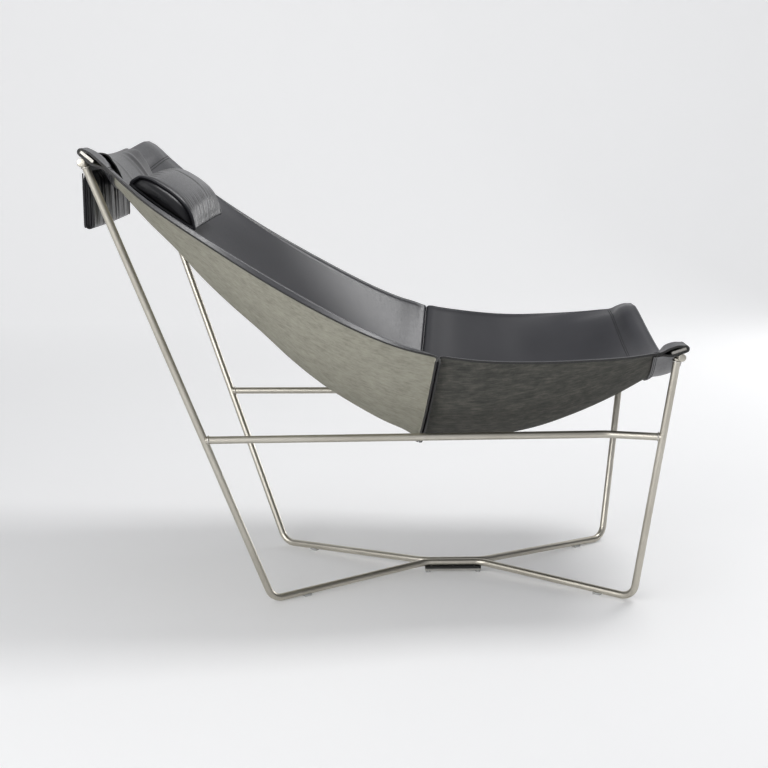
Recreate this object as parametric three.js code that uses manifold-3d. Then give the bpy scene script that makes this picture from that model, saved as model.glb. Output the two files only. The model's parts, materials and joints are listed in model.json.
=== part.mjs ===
import * as THREE from 'three';
import { mergeVertices } from 'three/addons/utils/BufferGeometryUtils.js';
import Module from 'manifold-3d';

// A sling lounge chair: two bent steel rod sides on a small base plate, and a leather back and
// seat that hang like a hammock between two flat bars. Millimetres, +Z up, +Y toward the head.
// A neck cushion hangs on a strap over the head bar, held by a counterweight behind it.

// Fits shared by every piece
const fitGap = 0.3;
const cutOverrun = 4;

// Steel rod: one length bent for each side
const rodDiameter = 12.7;
const footBendRadius = 28;
const centreBendRadius = 40;
const rearFootHalfWidth = 185.5;
const rearFootReach = 320.8;
const frontFootHalfWidth = 194.8;
const frontFootReach = 303.2;
const centreRun = 105;

// Side rails, kinked outward just behind the front legs
const railHeight = 300;
const railKinkHalfWidth = 216.8;
const railKinkReach = 248.9;
const railBendRadius = 60;

// Leather: thickness and its turned edges
const leatherThickness = 3.5;
const backRimFlare = 15;
const seatRimFlare = 4;
const leastFlare = 2;
const seamFlange = 12.5;
const seamBendRadius = 4;
const tailRun = 9;
const loopInset = 1.2;

// Head bar and front bar: flat steel bent the easy way, straight over the rod stubs
const barWidth = 25;
const barThickness = 4.5;
const barChamfer = 1;
const stubShift = 1.8;
const screwInset = 8;
const headBar = {
  side: 1,
  halfWidth: 351,
  reach: 581.4,
  height: 773,
  tilt: 40,
  bow: 28,
  stubLength: 45,
  legInset: 26,
  legShift: 0.5,
  stitchReach: 30.4,
  puff: 2.5,
  sectionLean: 40,
};
const frontBar = {
  side: -1,
  halfWidth: 289,
  reach: -355.2,
  height: 451.4,
  tilt: 18,
  bow: 75,
  stubLength: 36,
  legInset: 21,
  legShift: 4.2,
  stitchReach: 28,
  puff: 3.5,
  sectionLean: -12,
};

// The seam between back and seat, and the hollow of the sling under its rims
const seamReach = 37.2;
const seamHeight = 453;
const seamHalfWidth = 337;
const seamHollow = 193;
const seamLean = 7.6;
const headHollow = 47;
const frontHollow = 80;
const seatRimDip = 13.3;

// Machine screws
const screwShankDiameter = 4;
const screwHeadDiameter = 7;
const screwHeadHeight = 2.4;

// Base plate, its pad and its glides
const plateLength = 103;
const plateWidth = 30;
const plateThickness = 3.3;
const plateCornerRadius = 3;
const padThickness = 3.45;
const glideHeight = 3.7;
const glideDiameter = 9;
const glideInset = 5.5;
const baseScrewSpacing = 39.5;
const baseScrewGrip = 7;
const floorGlideFromFoot = 70;
const floorGlideLength = 14;
const floorGlideWidth = 9;
const floorGlideGrip = 3;

// Neck cushion: a leather cover with a slit underneath, round a foam core
const cushionHalfWidth = 205;
const cushionLength = 122;
const cushionEndHeight = 32;
const cushionCrown = 15;
const cushionBelly = 9;
const cushionSetback = 46.6;
const cushionDrop = 54;
const cushionLean = 36;
const cushionWall = 2;
const slitLength = 220;
const slitWidth = 6;

// Neck strap and the counterweight pouch behind the head bar
const strapHalfWidth = 165;
const strapThickness = 3;
const strapUnderCushion = 60;
const strapInPouch = 52;
const strapSlack = 0.8;
const pouchHalfWidth = 183;
const pouchDepth = 16;
const pouchDrop = 29;
const pouchShoulderDrop = 14;
const pouchHeight = 95.5;
const pouchWall = 1.6;
const weightThickness = 7.6;
const weightHeight = 46;
const weightHalfLength = 160;

// Facets
const rodSides = 12;
const bendSteps = 6;

const rodRadius = rodDiameter / 2;
const cushionBackReach = headBar.reach - cushionSetback;
const cushionBackHeight = headBar.height - cushionDrop;
const pouchTop = headBar.height - pouchDrop;
const pouchShoulder = pouchTop - pouchShoulderDrop;
const pouchBottom = pouchTop - pouchHeight;
const loopHeight = barThickness / 2 + fitGap + leatherThickness / 2;
const stubDrop = barThickness / 2 + 2 * fitGap + leatherThickness + rodRadius;

const wasm = await Module();
wasm.setup();

function toSolid(geometry) {
  const bare = geometry.clone();
  bare.deleteAttribute('normal');
  bare.deleteAttribute('uv');
  const merged = mergeVertices(bare);
  const mesh = new wasm.Mesh({
    numProp: 3,
    vertProperties: merged.attributes.position.array,
    triVerts: Uint32Array.from(merged.index.array),
  });
  return new wasm.Manifold(mesh);
}

function fromSolid(solid) {
  const mesh = solid.getMesh();
  const geometry = new THREE.BufferGeometry();
  geometry.setAttribute('position', new THREE.BufferAttribute(mesh.vertProperties, 3));
  geometry.setIndex(new THREE.BufferAttribute(mesh.triVerts, 1));
  return geometry;
}

function cut(geometry, cutters) {
  const solid = cutters.reduce((rest, cutter) => rest.subtract(toSolid(cutter)), toSolid(geometry));
  return fromSolid(solid);
}

// A closed skin of triangles over shared points, turned so that its faces point outward
function closedSkin(points, triangles) {
  let volume = 0;
  for (const [a, b, c] of triangles) {
    volume += points[a].dot(points[b].clone().cross(points[c]));
  }
  const index = triangles.flatMap(([a, b, c]) => (volume > 0 ? [a, b, c] : [a, c, b]));
  const geometry = new THREE.BufferGeometry();
  geometry.setFromPoints(points);
  geometry.setIndex(index);
  return geometry;
}

// Rings of as many points each, joined in order and closed by a fan at both ends
function loft(rings) {
  const count = rings[0].length;
  const points = rings.flat();
  const triangles = [];
  for (let r = 0; r < rings.length - 1; r += 1) {
    for (let k = 0; k < count; k += 1) {
      const a = r * count + k;
      const b = r * count + ((k + 1) % count);
      triangles.push([a, b, b + count], [a, b + count, a + count]);
    }
  }
  const last = (rings.length - 1) * count;
  for (let k = 1; k < count - 1; k += 1) {
    triangles.push([0, k + 1, k], [last, last + k, last + k + 1]);
  }
  return closedSkin(points, triangles);
}

// A sheet of even thickness over a grid of middle points, rows along it and columns across it
function thickSheet(rows, thickness) {
  const rowCount = rows.length;
  const columnCount = rows[0].length;
  const normalAt = (j, i) => {
    const before = rows[Math.max(j - 1, 0)][i];
    const after = rows[Math.min(j + 1, rowCount - 1)][i];
    const left = rows[j][Math.max(i - 1, 0)];
    const right = rows[j][Math.min(i + 1, columnCount - 1)];
    return right.clone().sub(left).cross(after.clone().sub(before)).normalize();
  };
  const faces = [thickness / 2, -thickness / 2].map((offset) => rows.flatMap((row, j) => (
    row.map((point, i) => point.clone().addScaledVector(normalAt(j, i), offset)))));
  const layer = rowCount * columnCount;
  const at = (j, i) => j * columnCount + i;
  const triangles = [];
  const quad = (a, b, c, d) => triangles.push([a, b, c], [a, c, d]);
  for (let j = 0; j < rowCount - 1; j += 1) {
    for (let i = 0; i < columnCount - 1; i += 1) {
      quad(at(j, i), at(j, i + 1), at(j + 1, i + 1), at(j + 1, i));
      quad(layer + at(j, i), layer + at(j + 1, i), layer + at(j + 1, i + 1), layer + at(j, i + 1));
    }
  }
  const edge = [];
  for (let i = 0; i < columnCount - 1; i += 1) edge.push(at(0, i));
  for (let j = 0; j < rowCount - 1; j += 1) edge.push(at(j, columnCount - 1));
  for (let i = columnCount - 1; i > 0; i -= 1) edge.push(at(rowCount - 1, i));
  for (let j = rowCount - 1; j > 0; j -= 1) edge.push(at(j, 0));
  edge.forEach((a, k) => {
    const b = edge[(k + 1) % edge.length];
    quad(a, layer + a, layer + b, b);
  });
  return closedSkin(faces.flat(), triangles);
}

// A line through stations: an extrusion puts one ring at each
class StationLine extends THREE.Curve {
  constructor(stations) {
    super();
    this.stations = stations;
  }

  getPoint(share) {
    const last = this.stations.length - 1;
    return this.stations[Math.min(Math.round(share * last), last)].clone();
  }

  getPointAt(share) {
    return this.getPoint(share);
  }

  getTangentAt(share) {
    const last = this.stations.length - 1;
    const k = Math.round(share * last);
    const direction = new THREE.Vector3();
    if (k > 0) {
      direction.add(this.stations[k].clone().sub(this.stations[k - 1]).normalize());
    }
    if (k < last) {
      direction.add(this.stations[k + 1].clone().sub(this.stations[k]).normalize());
    }
    return direction.normalize();
  }
}

// Stations of straight runs joined by arcs: the ends of the runs, and steps along the arcs
function bentStations(corners, bendRadius) {
  const stations = [corners[0].clone()];
  for (let k = 1; k < corners.length - 1; k += 1) {
    const toward = corners[k - 1].clone().sub(corners[k]).normalize();
    const away = corners[k + 1].clone().sub(corners[k]).normalize();
    const opening = toward.angleTo(away);
    const centreDistance = bendRadius / Math.sin(opening / 2);
    const centre = toward.clone().add(away).setLength(centreDistance).add(corners[k]);
    const tangentLength = bendRadius / Math.tan(opening / 2);
    const start = corners[k].clone().addScaledVector(toward, tangentLength).sub(centre);
    const axis = toward.clone().cross(away).negate().normalize();
    for (let step = 0; step <= bendSteps; step += 1) {
      const turn = (Math.PI - opening) * (step / bendSteps);
      stations.push(start.clone().applyAxisAngle(axis, turn).add(centre));
    }
  }
  stations.push(corners[corners.length - 1].clone());
  return stations;
}

function roundShape(radius, sides) {
  const points = Array.from({ length: sides }, (_, k) => {
    const angle = ((k + 0.5) / sides) * 2 * Math.PI;
    return new THREE.Vector2(radius * Math.cos(angle), radius * Math.sin(angle));
  });
  return new THREE.Shape(points);
}

function rodAlong(stations, radius) {
  return new THREE.ExtrudeGeometry(roundShape(radius, rodSides), {
    steps: stations.length - 1,
    bevelEnabled: false,
    extrudePath: new StationLine(stations),
  });
}

// A turned solid from heights and radii along an axis that starts at a point
function turnedAlong(start, direction, profile) {
  const outline = profile.map(([radius, height]) => new THREE.Vector2(radius, height));
  const geometry = new THREE.LatheGeometry(outline, rodSides);
  const up = new THREE.Vector3(0, 1, 0);
  geometry.applyQuaternion(new THREE.Quaternion().setFromUnitVectors(up, direction));
  geometry.translate(start.x, start.y, start.z);
  return geometry;
}

// A smooth value through a short table of positions and values
function smoothThrough(table) {
  const positions = table.map((row) => row[0]);
  const values = table.map((row) => row[1]);
  const curve = new THREE.CubicInterpolant(positions, values, 1);
  return (position) => curve.evaluate(position)[0];
}

// Across the chair, shares run from -1 at one rim to 1 at the other
const bowlPowerShare = 1.9;
const bellPowerShare = 2.5;
const bellSharpShare = 1.5;
const straightShare = 0.86;
const bowl = (across) => 1 - Math.min(Math.abs(across), 1) ** bowlPowerShare;

function bell(across) {
  const inward = Math.min(Math.abs(across) / straightShare, 1);
  return (1 - inward ** bellPowerShare) ** bellSharpShare;
}

const slopeStepShare = 0.003;

// A flat bar's own frame at a share across: its centre, along its flat toward the sling, and up
function barFrame(bar, across) {
  const tilt = THREE.MathUtils.degToRad(bar.tilt);
  const toSling = new THREE.Vector3(0, -bar.side * Math.cos(tilt), -Math.sin(tilt));
  const flatNormal = new THREE.Vector3(0, -bar.side * Math.sin(tilt), Math.cos(tilt));
  const centreAt = (share) => {
    const end = new THREE.Vector3(bar.halfWidth * share, bar.reach, bar.height);
    return end.addScaledVector(flatNormal, -bar.bow * bell(share));
  };
  const along = centreAt(across + slopeStepShare).sub(centreAt(across - slopeStepShare)).normalize();
  const up = along.clone().cross(toSling).normalize();
  if (up.z < 0) up.negate();
  return { centre: centreAt(across), toSling, up };
}

function barPoint(bar, across, inward, rise) {
  const frame = barFrame(bar, across);
  return frame.centre.addScaledVector(frame.toSling, inward).addScaledVector(frame.up, rise);
}

// Where the leather that leaves a bar is stitched to its own tail, at the rim
function stitchAtRim(bar) {
  return barPoint(bar, 1, bar.stitchReach, loopHeight + bar.puff / 2);
}

// Rims from seam to stitch: share of the run, share of the rise (of the dip, under the seat's
// straight line), and share of the half width
const backRimShares = [
  [0, 0, 1],
  [0.117, 0.063, 1.012],
  [0.269, 0.181, 1.02],
  [0.419, 0.319, 1.01],
  [0.571, 0.47, 0.984],
  [0.719, 0.631, 0.976],
  [0.89, 0.836, 1.024],
  [1, 1, 1.0386],
];
const seatRimShares = [
  [0, 0, 1],
  [0.181, -0.63, 0.976],
  [0.408, -1, 0.917],
  [0.674, -0.81, 0.896],
  [0.849, -0.49, 0.89],
  [1, 0, 0.862],
];

// Depth of the hollow along the run, as a share of its depth at the seam, down to the bar's
const backHollowShares = [
  [0, 1],
  [0.172, 0.907],
  [0.337, 0.808],
  [0.499, 0.65],
  [0.656, 0.529],
  [0.809, 0.377],
  [0.934, 0.296],
];
const seatHollowShares = [
  [0, 1],
  [0.214, 0.938],
  [0.427, 0.868],
  [0.645, 0.725],
  [0.863, 0.54],
];

// How much of the bar's own bend the section still has, and how the hollow leans
const bellFadeShares = [
  [0, 0],
  [0.5, 0],
  [0.8, 0.35],
  [1, 0.7],
];

function panel(bar, rimShares, hollowShares, endHollow, rimDip) {
  const end = stitchAtRim(bar);
  const run = end.y - seamReach;
  const rise = end.z - seamHeight;
  const shareOf = smoothThrough(rimShares);
  const riseOf = (place) => (rimDip > 0 ? rise * place + rimDip * shareOf(place) : rise * shareOf(place));
  const widthOf = smoothThrough(rimShares.map(([place, , share]) => [place, share]));
  const hollowOf = smoothThrough([
    ...hollowShares.map(([place, share]) => [place, share * seamHollow]),
    [1, endHollow],
  ]);
  const fadeOf = smoothThrough(bellFadeShares);
  return (place, across) => {
    const lean = THREE.MathUtils.degToRad(seamLean + (bar.sectionLean - seamLean) * place);
    const fade = THREE.MathUtils.clamp(fadeOf(place), 0, 1);
    const hollow = hollowOf(place) * (bowl(across) * (1 - fade) + bell(across) * fade);
    return new THREE.Vector3(
      seamHalfWidth * widthOf(place) * across,
      seamReach + run * place + hollow * Math.sin(lean),
      seamHeight + riseOf(place) - hollow * Math.cos(lean),
    );
  };
}

const backSurface = panel(headBar, backRimShares, backHollowShares, headHollow, 0);
const seatSurface = panel(frontBar, seatRimShares, seatHollowShares, frontHollow, seatRimDip);

// Upward normal of a panel's surface
function upwardNormal(surface, place, across) {
  const step = slopeStepShare;
  const inward = Math.min(Math.max(across, step - 1), 1 - step);
  const lengthwise = surface(place + step, inward).sub(surface(place - step, inward));
  const crosswise = surface(place, inward + step).sub(surface(place, inward - step));
  const normal = crosswise.cross(lengthwise).normalize();
  return normal.z < 0 ? normal.negate() : normal;
}

// Outward direction of the seam's flanges, in the leaning plane of the seam
function flangeDirection(across) {
  const lean = THREE.MathUtils.degToRad(seamLean);
  const slope = (seamHollow / seamHalfWidth) * bowlPowerShare
    * Math.abs(across) ** (bowlPowerShare - 1) * Math.sign(across);
  return new THREE.Vector3(slope, Math.sin(lean), -Math.cos(lean)).normalize();
}

// Each column ends in the points of the seam's bend and flange
const seamPointCount = 4;

// Middle points of one panel across the chair at one share, from its tail to its seam flange
function panelColumn(bar, surface, across, placeShares) {
  const layerGap = leatherThickness + fitGap;
  const stitchNormal = upwardNormal(surface, 1, across);
  const tailPlace = 1 - tailRun / Math.abs(bar.reach - seamReach);
  const tailNormal = upwardNormal(surface, tailPlace, across);
  const half = barWidth / 2;
  const turnCentre = loopInset - half;
  const outerTurn = loopHeight * Math.SQRT1_2;
  const column = [
    surface(tailPlace, across).addScaledVector(tailNormal, -layerGap),
    surface(1, across).addScaledVector(stitchNormal, -layerGap),
    barPoint(bar, across, half, -loopHeight),
    barPoint(bar, across, 0, -loopHeight),
    barPoint(bar, across, turnCentre, -loopHeight),
    barPoint(bar, across, turnCentre - outerTurn, -outerTurn),
    barPoint(bar, across, turnCentre - loopHeight, 0),
    barPoint(bar, across, turnCentre - outerTurn, outerTurn),
    barPoint(bar, across, turnCentre, loopHeight),
    barPoint(bar, across, 0, loopHeight + bar.puff),
    barPoint(bar, across, half, loopHeight + bar.puff),
    surface(1, across),
  ];
  placeShares.forEach((place) => column.push(surface(place, across)));
  const lean = THREE.MathUtils.degToRad(seamLean);
  const aside = new THREE.Vector3(0, Math.cos(lean), Math.sin(lean)).multiplyScalar(bar.side);
  const outward = flangeDirection(across);
  const seam = surface(0, across);
  const flangeSide = (leatherThickness + fitGap) / 2;
  const bendPoint = (turn) => seam.clone()
    .addScaledVector(aside, flangeSide + seamBendRadius * (1 - Math.sin(turn)))
    .addScaledVector(outward, seamBendRadius * (1 - Math.cos(turn)));
  column.push(bendPoint(0));
  column.push(bendPoint(Math.PI / 4));
  column.push(bendPoint(Math.PI / 2));
  column.push(seam.clone().addScaledVector(aside, flangeSide).addScaledVector(outward, seamFlange));
  return column;
}

// Shares across the chair at which the leather and the flat bars have their facets
const halfAcrossShares = [0.17, 0.33, 0.48, 0.61, 0.72, 0.8, straightShare, 0.93, 1];
const acrossShares = [...halfAcrossShares.map((share) => -share).reverse(), 0, ...halfAcrossShares];

// The rim's edge turned outward and down: one more point beyond each end of a row
function withFlare(row, flare, drop) {
  const turned = (rim, side) => rim.clone()
    .add(new THREE.Vector3(side * flare * (1 - drop), 0, -flare * drop));
  return [turned(row[0], -1), ...row, turned(row[row.length - 1], 1)];
}

function leatherPanel(bar, surface, placeShares, rimFlare, flareDrop) {
  const columns = acrossShares.map((across) => panelColumn(bar, surface, across, placeShares));
  const firstOnRim = columns[0].length - placeShares.length - seamPointCount;
  const rows = columns[0].map((_, j) => {
    const row = columns.map((column) => column[j]);
    const place = placeShares[j - firstOnRim];
    const open = place === undefined ? 0 : Math.sqrt(Math.sin(Math.PI * place));
    const flare = leastFlare + (rimFlare - leastFlare) * open;
    return withFlare(row, flare, flareDrop * open);
  });
  return thickSheet(rows, leatherThickness);
}

// Facets along each panel, from the stitch at its bar toward the seam
const backPlaceShares = [0.96, 0.88, 0.79, 0.69, 0.59, 0.49, 0.39, 0.29, 0.19, 0.1, 0.04];
const seatPlaceShares = [0.95, 0.86, 0.75, 0.63, 0.51, 0.39, 0.28, 0.17, 0.06];
const backFlareDropShare = 0.55;
const seatFlareDropShare = 0.2;

function screwProfile(length) {
  const headRadius = screwHeadDiameter / 2;
  const shankRadius = screwShankDiameter / 2;
  return [
    [0, 0],
    [headRadius, 0],
    [headRadius, screwHeadHeight],
    [shankRadius, screwHeadHeight],
    [shankRadius, length],
    [0, length],
  ];
}

function screwHoleProfile(length) {
  const headRadius = screwHeadDiameter / 2 + fitGap;
  const shankRadius = screwShankDiameter / 2 + fitGap;
  return [
    [0, -cutOverrun],
    [headRadius, -cutOverrun],
    [headRadius, screwHeadHeight + fitGap],
    [shankRadius, screwHeadHeight + fitGap],
    [shankRadius, length + fitGap],
    [0, length + fitGap],
  ];
}

// Flat bars, with the screws that hold them to the rod stubs
function barRing(bar, across) {
  const half = barWidth / 2;
  const thick = barThickness / 2;
  return [
    [half - barChamfer, -thick],
    [half, barChamfer - thick],
    [half, thick - barChamfer],
    [half - barChamfer, thick],
    [barChamfer - half, thick],
    [-half, thick - barChamfer],
    [-half, barChamfer - thick],
    [barChamfer - half, -thick],
  ].map(([inward, rise]) => barPoint(bar, across, inward, rise));
}

function stubCentre(bar, offset) {
  const share = (bar.halfWidth - offset) / bar.halfWidth;
  return barPoint(bar, share, -stubShift, -stubDrop);
}

function mirrored(point) {
  return new THREE.Vector3(-point.x, point.y, point.z);
}

// Screws start under the stub and end inside the flat bar
const stubScrewLength = stubDrop + rodRadius + barThickness / 4;
function stubScrewLine(bar, side) {
  const { up } = barFrame(bar, 1);
  const middle = stubCentre(bar, screwInset);
  const start = middle.clone().addScaledVector(up, -rodRadius);
  return { start: side < 0 ? mirrored(start) : start, up };
}

const barScrews = [headBar, frontBar].map((bar) => [-1, 1].map((side) => stubScrewLine(bar, side)));
const [headScrews, frontScrews] = barScrews;
const holeAlong = (line, length) => turnedAlong(line.start, line.up, screwHoleProfile(length));

// Side frames: head leg, rear floor rod, centre run, front floor rod and front leg in one rod
const plateTopHeight = glideHeight + fitGap + plateThickness;
const padTopHeight = plateTopHeight + fitGap + padThickness;
const centreHeight = padTopHeight + fitGap + rodRadius;
const centreHalfWidth = rodRadius + fitGap / 2;
const rearFoot = new THREE.Vector3(rearFootHalfWidth, rearFootReach, rodRadius);
const frontFoot = new THREE.Vector3(frontFootHalfWidth, -frontFootReach, rodRadius);
const headLegTop = legTop(headBar);
const frontLegTop = legTop(frontBar);
const rearCentre = new THREE.Vector3(centreHalfWidth, centreRun / 2, centreHeight);
const frontCentre = new THREE.Vector3(centreHalfWidth, -centreRun / 2, centreHeight);

// A leg ends in a cope under its stub, a little toward the sling from the stub's own line
function legTop(bar) {
  const offset = new THREE.Vector3(0, -bar.side * bar.legShift, -rodRadius / 2);
  return stubCentre(bar, bar.legInset).add(offset);
}

function stubEnds(bar) {
  return [stubCentre(bar, bar.stubLength), stubCentre(bar, 0)];
}

function sideCorners(side) {
  const corners = [headLegTop, rearFoot, rearCentre, frontCentre, frontFoot, frontLegTop];
  return corners.map((corner) => (side < 0 ? mirrored(corner) : corner));
}

// The rod's bends differ at feet and centre, so its stations are made in three parts
function sideRod(side, radius) {
  const corners = sideCorners(side);
  const rear = bentStations([corners[0], corners[1], corners[2]], footBendRadius);
  const front = bentStations([corners[3], corners[4], corners[5]], footBendRadius);
  const rearMiddle = corners[1].clone().lerp(corners[2], 0.5);
  const frontMiddle = corners[4].clone().lerp(corners[3], 0.5);
  const centre = bentStations([rearMiddle, corners[2], corners[3], frontMiddle], centreBendRadius);
  return rodAlong([...rear.slice(0, -1), ...centre.slice(1, -1), ...front.slice(1)], radius);
}

function stubRod(bar, side, radius) {
  const ends = stubEnds(bar).map((end) => (side < 0 ? mirrored(end) : end));
  return rodAlong(ends, radius);
}

// Base screws rise through plate and pad into the rods
const baseScrewLength = plateThickness + fitGap + padThickness + fitGap + baseScrewGrip;
function baseScrewLine(side, row) {
  const start = new THREE.Vector3(side * centreHalfWidth, row * baseScrewSpacing, glideHeight + fitGap);
  return { start, up: new THREE.Vector3(0, 0, 1) };
}
const baseScrewRows = [-1, 0, 1];

function sideFrame(side) {
  const cutters = [headBar, frontBar].map((bar) => stubRod(bar, side, rodRadius + fitGap));
  baseScrewRows.forEach((k) => cutters.push(holeAlong(baseScrewLine(side, k), baseScrewLength)));
  return cut(sideRod(side, rodRadius), cutters);
}

// Rails run from leg to leg at one height
function onLeg(foot, top, height) {
  const share = (height - foot.z) / (top.z - foot.z);
  return foot.clone().lerp(top, share);
}

function sideRail(side) {
  const corners = [
    onLeg(rearFoot, headLegTop, railHeight),
    new THREE.Vector3(railKinkHalfWidth, -railKinkReach, railHeight),
    onLeg(frontFoot, frontLegTop, railHeight),
  ].map((corner) => (side < 0 ? mirrored(corner) : corner));
  const stations = bentStations(corners, railBendRadius);
  return cut(rodAlong(stations, rodRadius), [sideRod(side, rodRadius + fitGap)]);
}

function stub(bar, side, screwLine) {
  return cut(stubRod(bar, side, rodRadius), [holeAlong(screwLine, stubScrewLength)]);
}

function flatBar(bar, screwLines) {
  const body = loft(acrossShares.map((across) => barRing(bar, across)));
  return cut(body, screwLines.map((line) => holeAlong(line, stubScrewLength)));
}

function roundedSlab(width, length, thickness, cornerRadius, bottom) {
  const x = width / 2 - cornerRadius;
  const y = length / 2 - cornerRadius;
  const shape = new THREE.Shape();
  shape.absarc(x, y, cornerRadius, 0, Math.PI / 2);
  shape.absarc(-x, y, cornerRadius, Math.PI / 2, Math.PI);
  shape.absarc(-x, -y, cornerRadius, Math.PI, 1.5 * Math.PI);
  shape.absarc(x, -y, cornerRadius, 1.5 * Math.PI, 2 * Math.PI);
  const geometry = new THREE.ExtrudeGeometry(shape, {
    depth: thickness,
    bevelEnabled: false,
    curveSegments: 2,
  });
  return geometry.translate(0, 0, bottom);
}

const everyBaseScrew = [-1, 1].flatMap((side) => baseScrewRows.map((k) => baseScrewLine(side, k)));
const baseHoles = () => everyBaseScrew.map((line) => holeAlong(line, baseScrewLength));

function basePlate() {
  const bottom = glideHeight + fitGap;
  return cut(roundedSlab(plateWidth, plateLength, plateThickness, plateCornerRadius, bottom), baseHoles());
}

function basePad() {
  const bottom = plateTopHeight + fitGap;
  return cut(roundedSlab(plateWidth, plateLength, padThickness, plateCornerRadius, bottom), baseHoles());
}

function plateGlide(side, end) {
  const x = side * (plateWidth / 2 - glideInset);
  const y = end * (plateLength / 2 - glideInset);
  const radius = glideDiameter / 2;
  const edge = glideHeight / 6;
  return turnedAlong(new THREE.Vector3(x, y, 0), new THREE.Vector3(0, 0, 1), [
    [0, 0],
    [radius - edge, 0],
    [radius, edge],
    [radius, glideHeight],
    [0, glideHeight],
  ]);
}

// Clear saddles under the floor rods, a hand's width from each foot
function floorGlide(side, foot, centre) {
  const toCentre = centre.clone().sub(foot).setLength(floorGlideFromFoot);
  const place = foot.clone().add(toCentre);
  const height = place.z - rodRadius + floorGlideGrip;
  const block = new THREE.BoxGeometry(floorGlideWidth, floorGlideLength, height);
  block.rotateZ(-side * Math.atan2(toCentre.x, toCentre.y));
  block.translate(side * place.x, place.y, height / 2);
  return cut(block, [sideRod(side, rodRadius + fitGap)]);
}

const cushionBaseShare = 0.08;

// Cushion section: along the cushion from its back edge, then height above its lying plane
const cushionSectionShares = [
  [0, 0.06],
  [0.02, 0.42],
  [0.1, 0.8],
  [0.22, 0.94],
  [0.36, 0.99],
  [0.5, 1],
  [0.64, 0.95],
  [0.77, 0.82],
  [0.88, 0.58],
  [0.96, 0.3],
  [1, 0.06],
  [0.97, -0.02],
  [0.8, -0.06],
  [0.5, -cushionBaseShare],
  [0.2, -0.06],
  [0.03, -0.02],
];
const halfCushionShares = [0.23, 0.46, 0.68, 0.86, 0.97, 1];
const cushionStationShares = [...halfCushionShares.map((share) => -share).reverse(), 0, ...halfCushionShares];

const cushionSwellPowerShare = 0.6;
const cushionEndDrawShare = 0.9;

// The cushion swells toward its middle, and its ends are drawn in
function cushionRing(share, inset) {
  const swell = Math.cos((Math.abs(share) * Math.PI) / 2) ** cushionSwellPowerShare;
  const drawn = Math.abs(share) === 1 ? cushionEndDrawShare : 1;
  const height = (cushionEndHeight + cushionCrown * swell) * drawn;
  const lean = THREE.MathUtils.degToRad(cushionLean);
  const down = new THREE.Vector3(0, -Math.cos(lean), -Math.sin(lean));
  const up = new THREE.Vector3(0, -Math.sin(lean), Math.cos(lean));
  const middle = { along: cushionLength / 2, rise: height / 2 };
  const x = share * (cushionHalfWidth - inset);
  return cushionSectionShares.map(([alongShare, riseShare]) => {
    const belly = riseShare < 0 ? -cushionBelly * swell * Math.sin(Math.PI * alongShare) : 0;
    const along = alongShare * cushionLength * drawn + (1 - drawn) * middle.along;
    const rise = riseShare * height + belly + (1 - drawn) * middle.rise;
    const fromMiddle = new THREE.Vector2(along - middle.along, rise - middle.rise);
    fromMiddle.multiplyScalar(1 - inset / fromMiddle.length());
    return new THREE.Vector3(x, cushionBackReach, cushionBackHeight)
      .addScaledVector(down, fromMiddle.x + middle.along)
      .addScaledVector(up, fromMiddle.y + middle.rise);
  });
}

const cushionLoft = (inset) => loft(cushionStationShares.map((share) => cushionRing(share, inset)));

// The slit opens the middle of the cushion's underside
function neckCushionCover() {
  const slit = new THREE.BoxGeometry(slitLength, slitWidth, cushionEndHeight);
  slit.translate(0, -cushionLength / 2, -cushionEndHeight / 3);
  slit.rotateX(THREE.MathUtils.degToRad(cushionLean));
  slit.translate(0, cushionBackReach, cushionBackHeight);
  return cut(cushionLoft(0), [cushionLoft(cushionWall), slit]);
}

// The strap lies round the leather loop of the head bar, and hangs plumb behind it
const strapOver = loopHeight + leatherThickness / 2 + fitGap + strapThickness / 2 + strapSlack;
const strapBackReach = barPoint(headBar, 0, -barWidth / 2, 0).y + strapOver;
const strapAcrossShares = [-1, -0.6, -0.2, 0.2, 0.6, 1];
const strapTurnShares = [0, 0.33, 0.67, 1];

function strapColumn(share) {
  const x = share * strapHalfWidth;
  const across = x / headBar.halfWidth;
  const lean = THREE.MathUtils.degToRad(cushionLean);
  const down = new THREE.Vector3(0, -Math.cos(lean), -Math.sin(lean));
  const under = new THREE.Vector3(0, Math.sin(lean), -Math.cos(lean));
  const deepest = cushionBelly + cushionBaseShare * (cushionEndHeight + cushionCrown);
  const underCushion = deepest + fitGap + strapThickness / 2;
  const lying = (along) => new THREE.Vector3(x, cushionBackReach, cushionBackHeight)
    .addScaledVector(down, along)
    .addScaledVector(under, underCushion);
  const turnCentre = barPoint(headBar, across, -barWidth / 2, 0);
  const axis = new THREE.Vector3(-1, 0, 0);
  const quarterTurn = Math.PI / 2 + THREE.MathUtils.degToRad(headBar.tilt);
  const round = (turnShare) => barFrame(headBar, across).up
    .applyAxisAngle(axis, quarterTurn * turnShare)
    .multiplyScalar(strapOver)
    .add(turnCentre);
  const hang = (height) => new THREE.Vector3(x, strapBackReach, height);
  return [
    lying(strapUnderCushion),
    lying(strapUnderCushion / 2),
    lying(0),
    barPoint(headBar, across, barWidth / 2, strapOver + headBar.puff),
    barPoint(headBar, across, 0, strapOver + headBar.puff),
    ...strapTurnShares.map(round),
    hang((round(1).z + pouchTop) / 2),
    hang(pouchTop),
    hang(pouchTop - strapInPouch),
  ];
}

function neckStrap() {
  const columns = strapAcrossShares.map(strapColumn);
  const rows = columns[0].map((_, j) => columns.map((column) => column[j]));
  return thickSheet(rows, strapThickness);
}

// Pouch section: an upright bag with a round bottom and shoulders drawn in to the strap
const strapRoom = strapThickness / 2 + fitGap;
const pouchBack = strapBackReach + strapRoom + pouchWall;
const pouchFront = pouchBack - pouchDepth;

const pouchFloorShares = [0, 0.25, 0.5, 0.75, 1];

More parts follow.
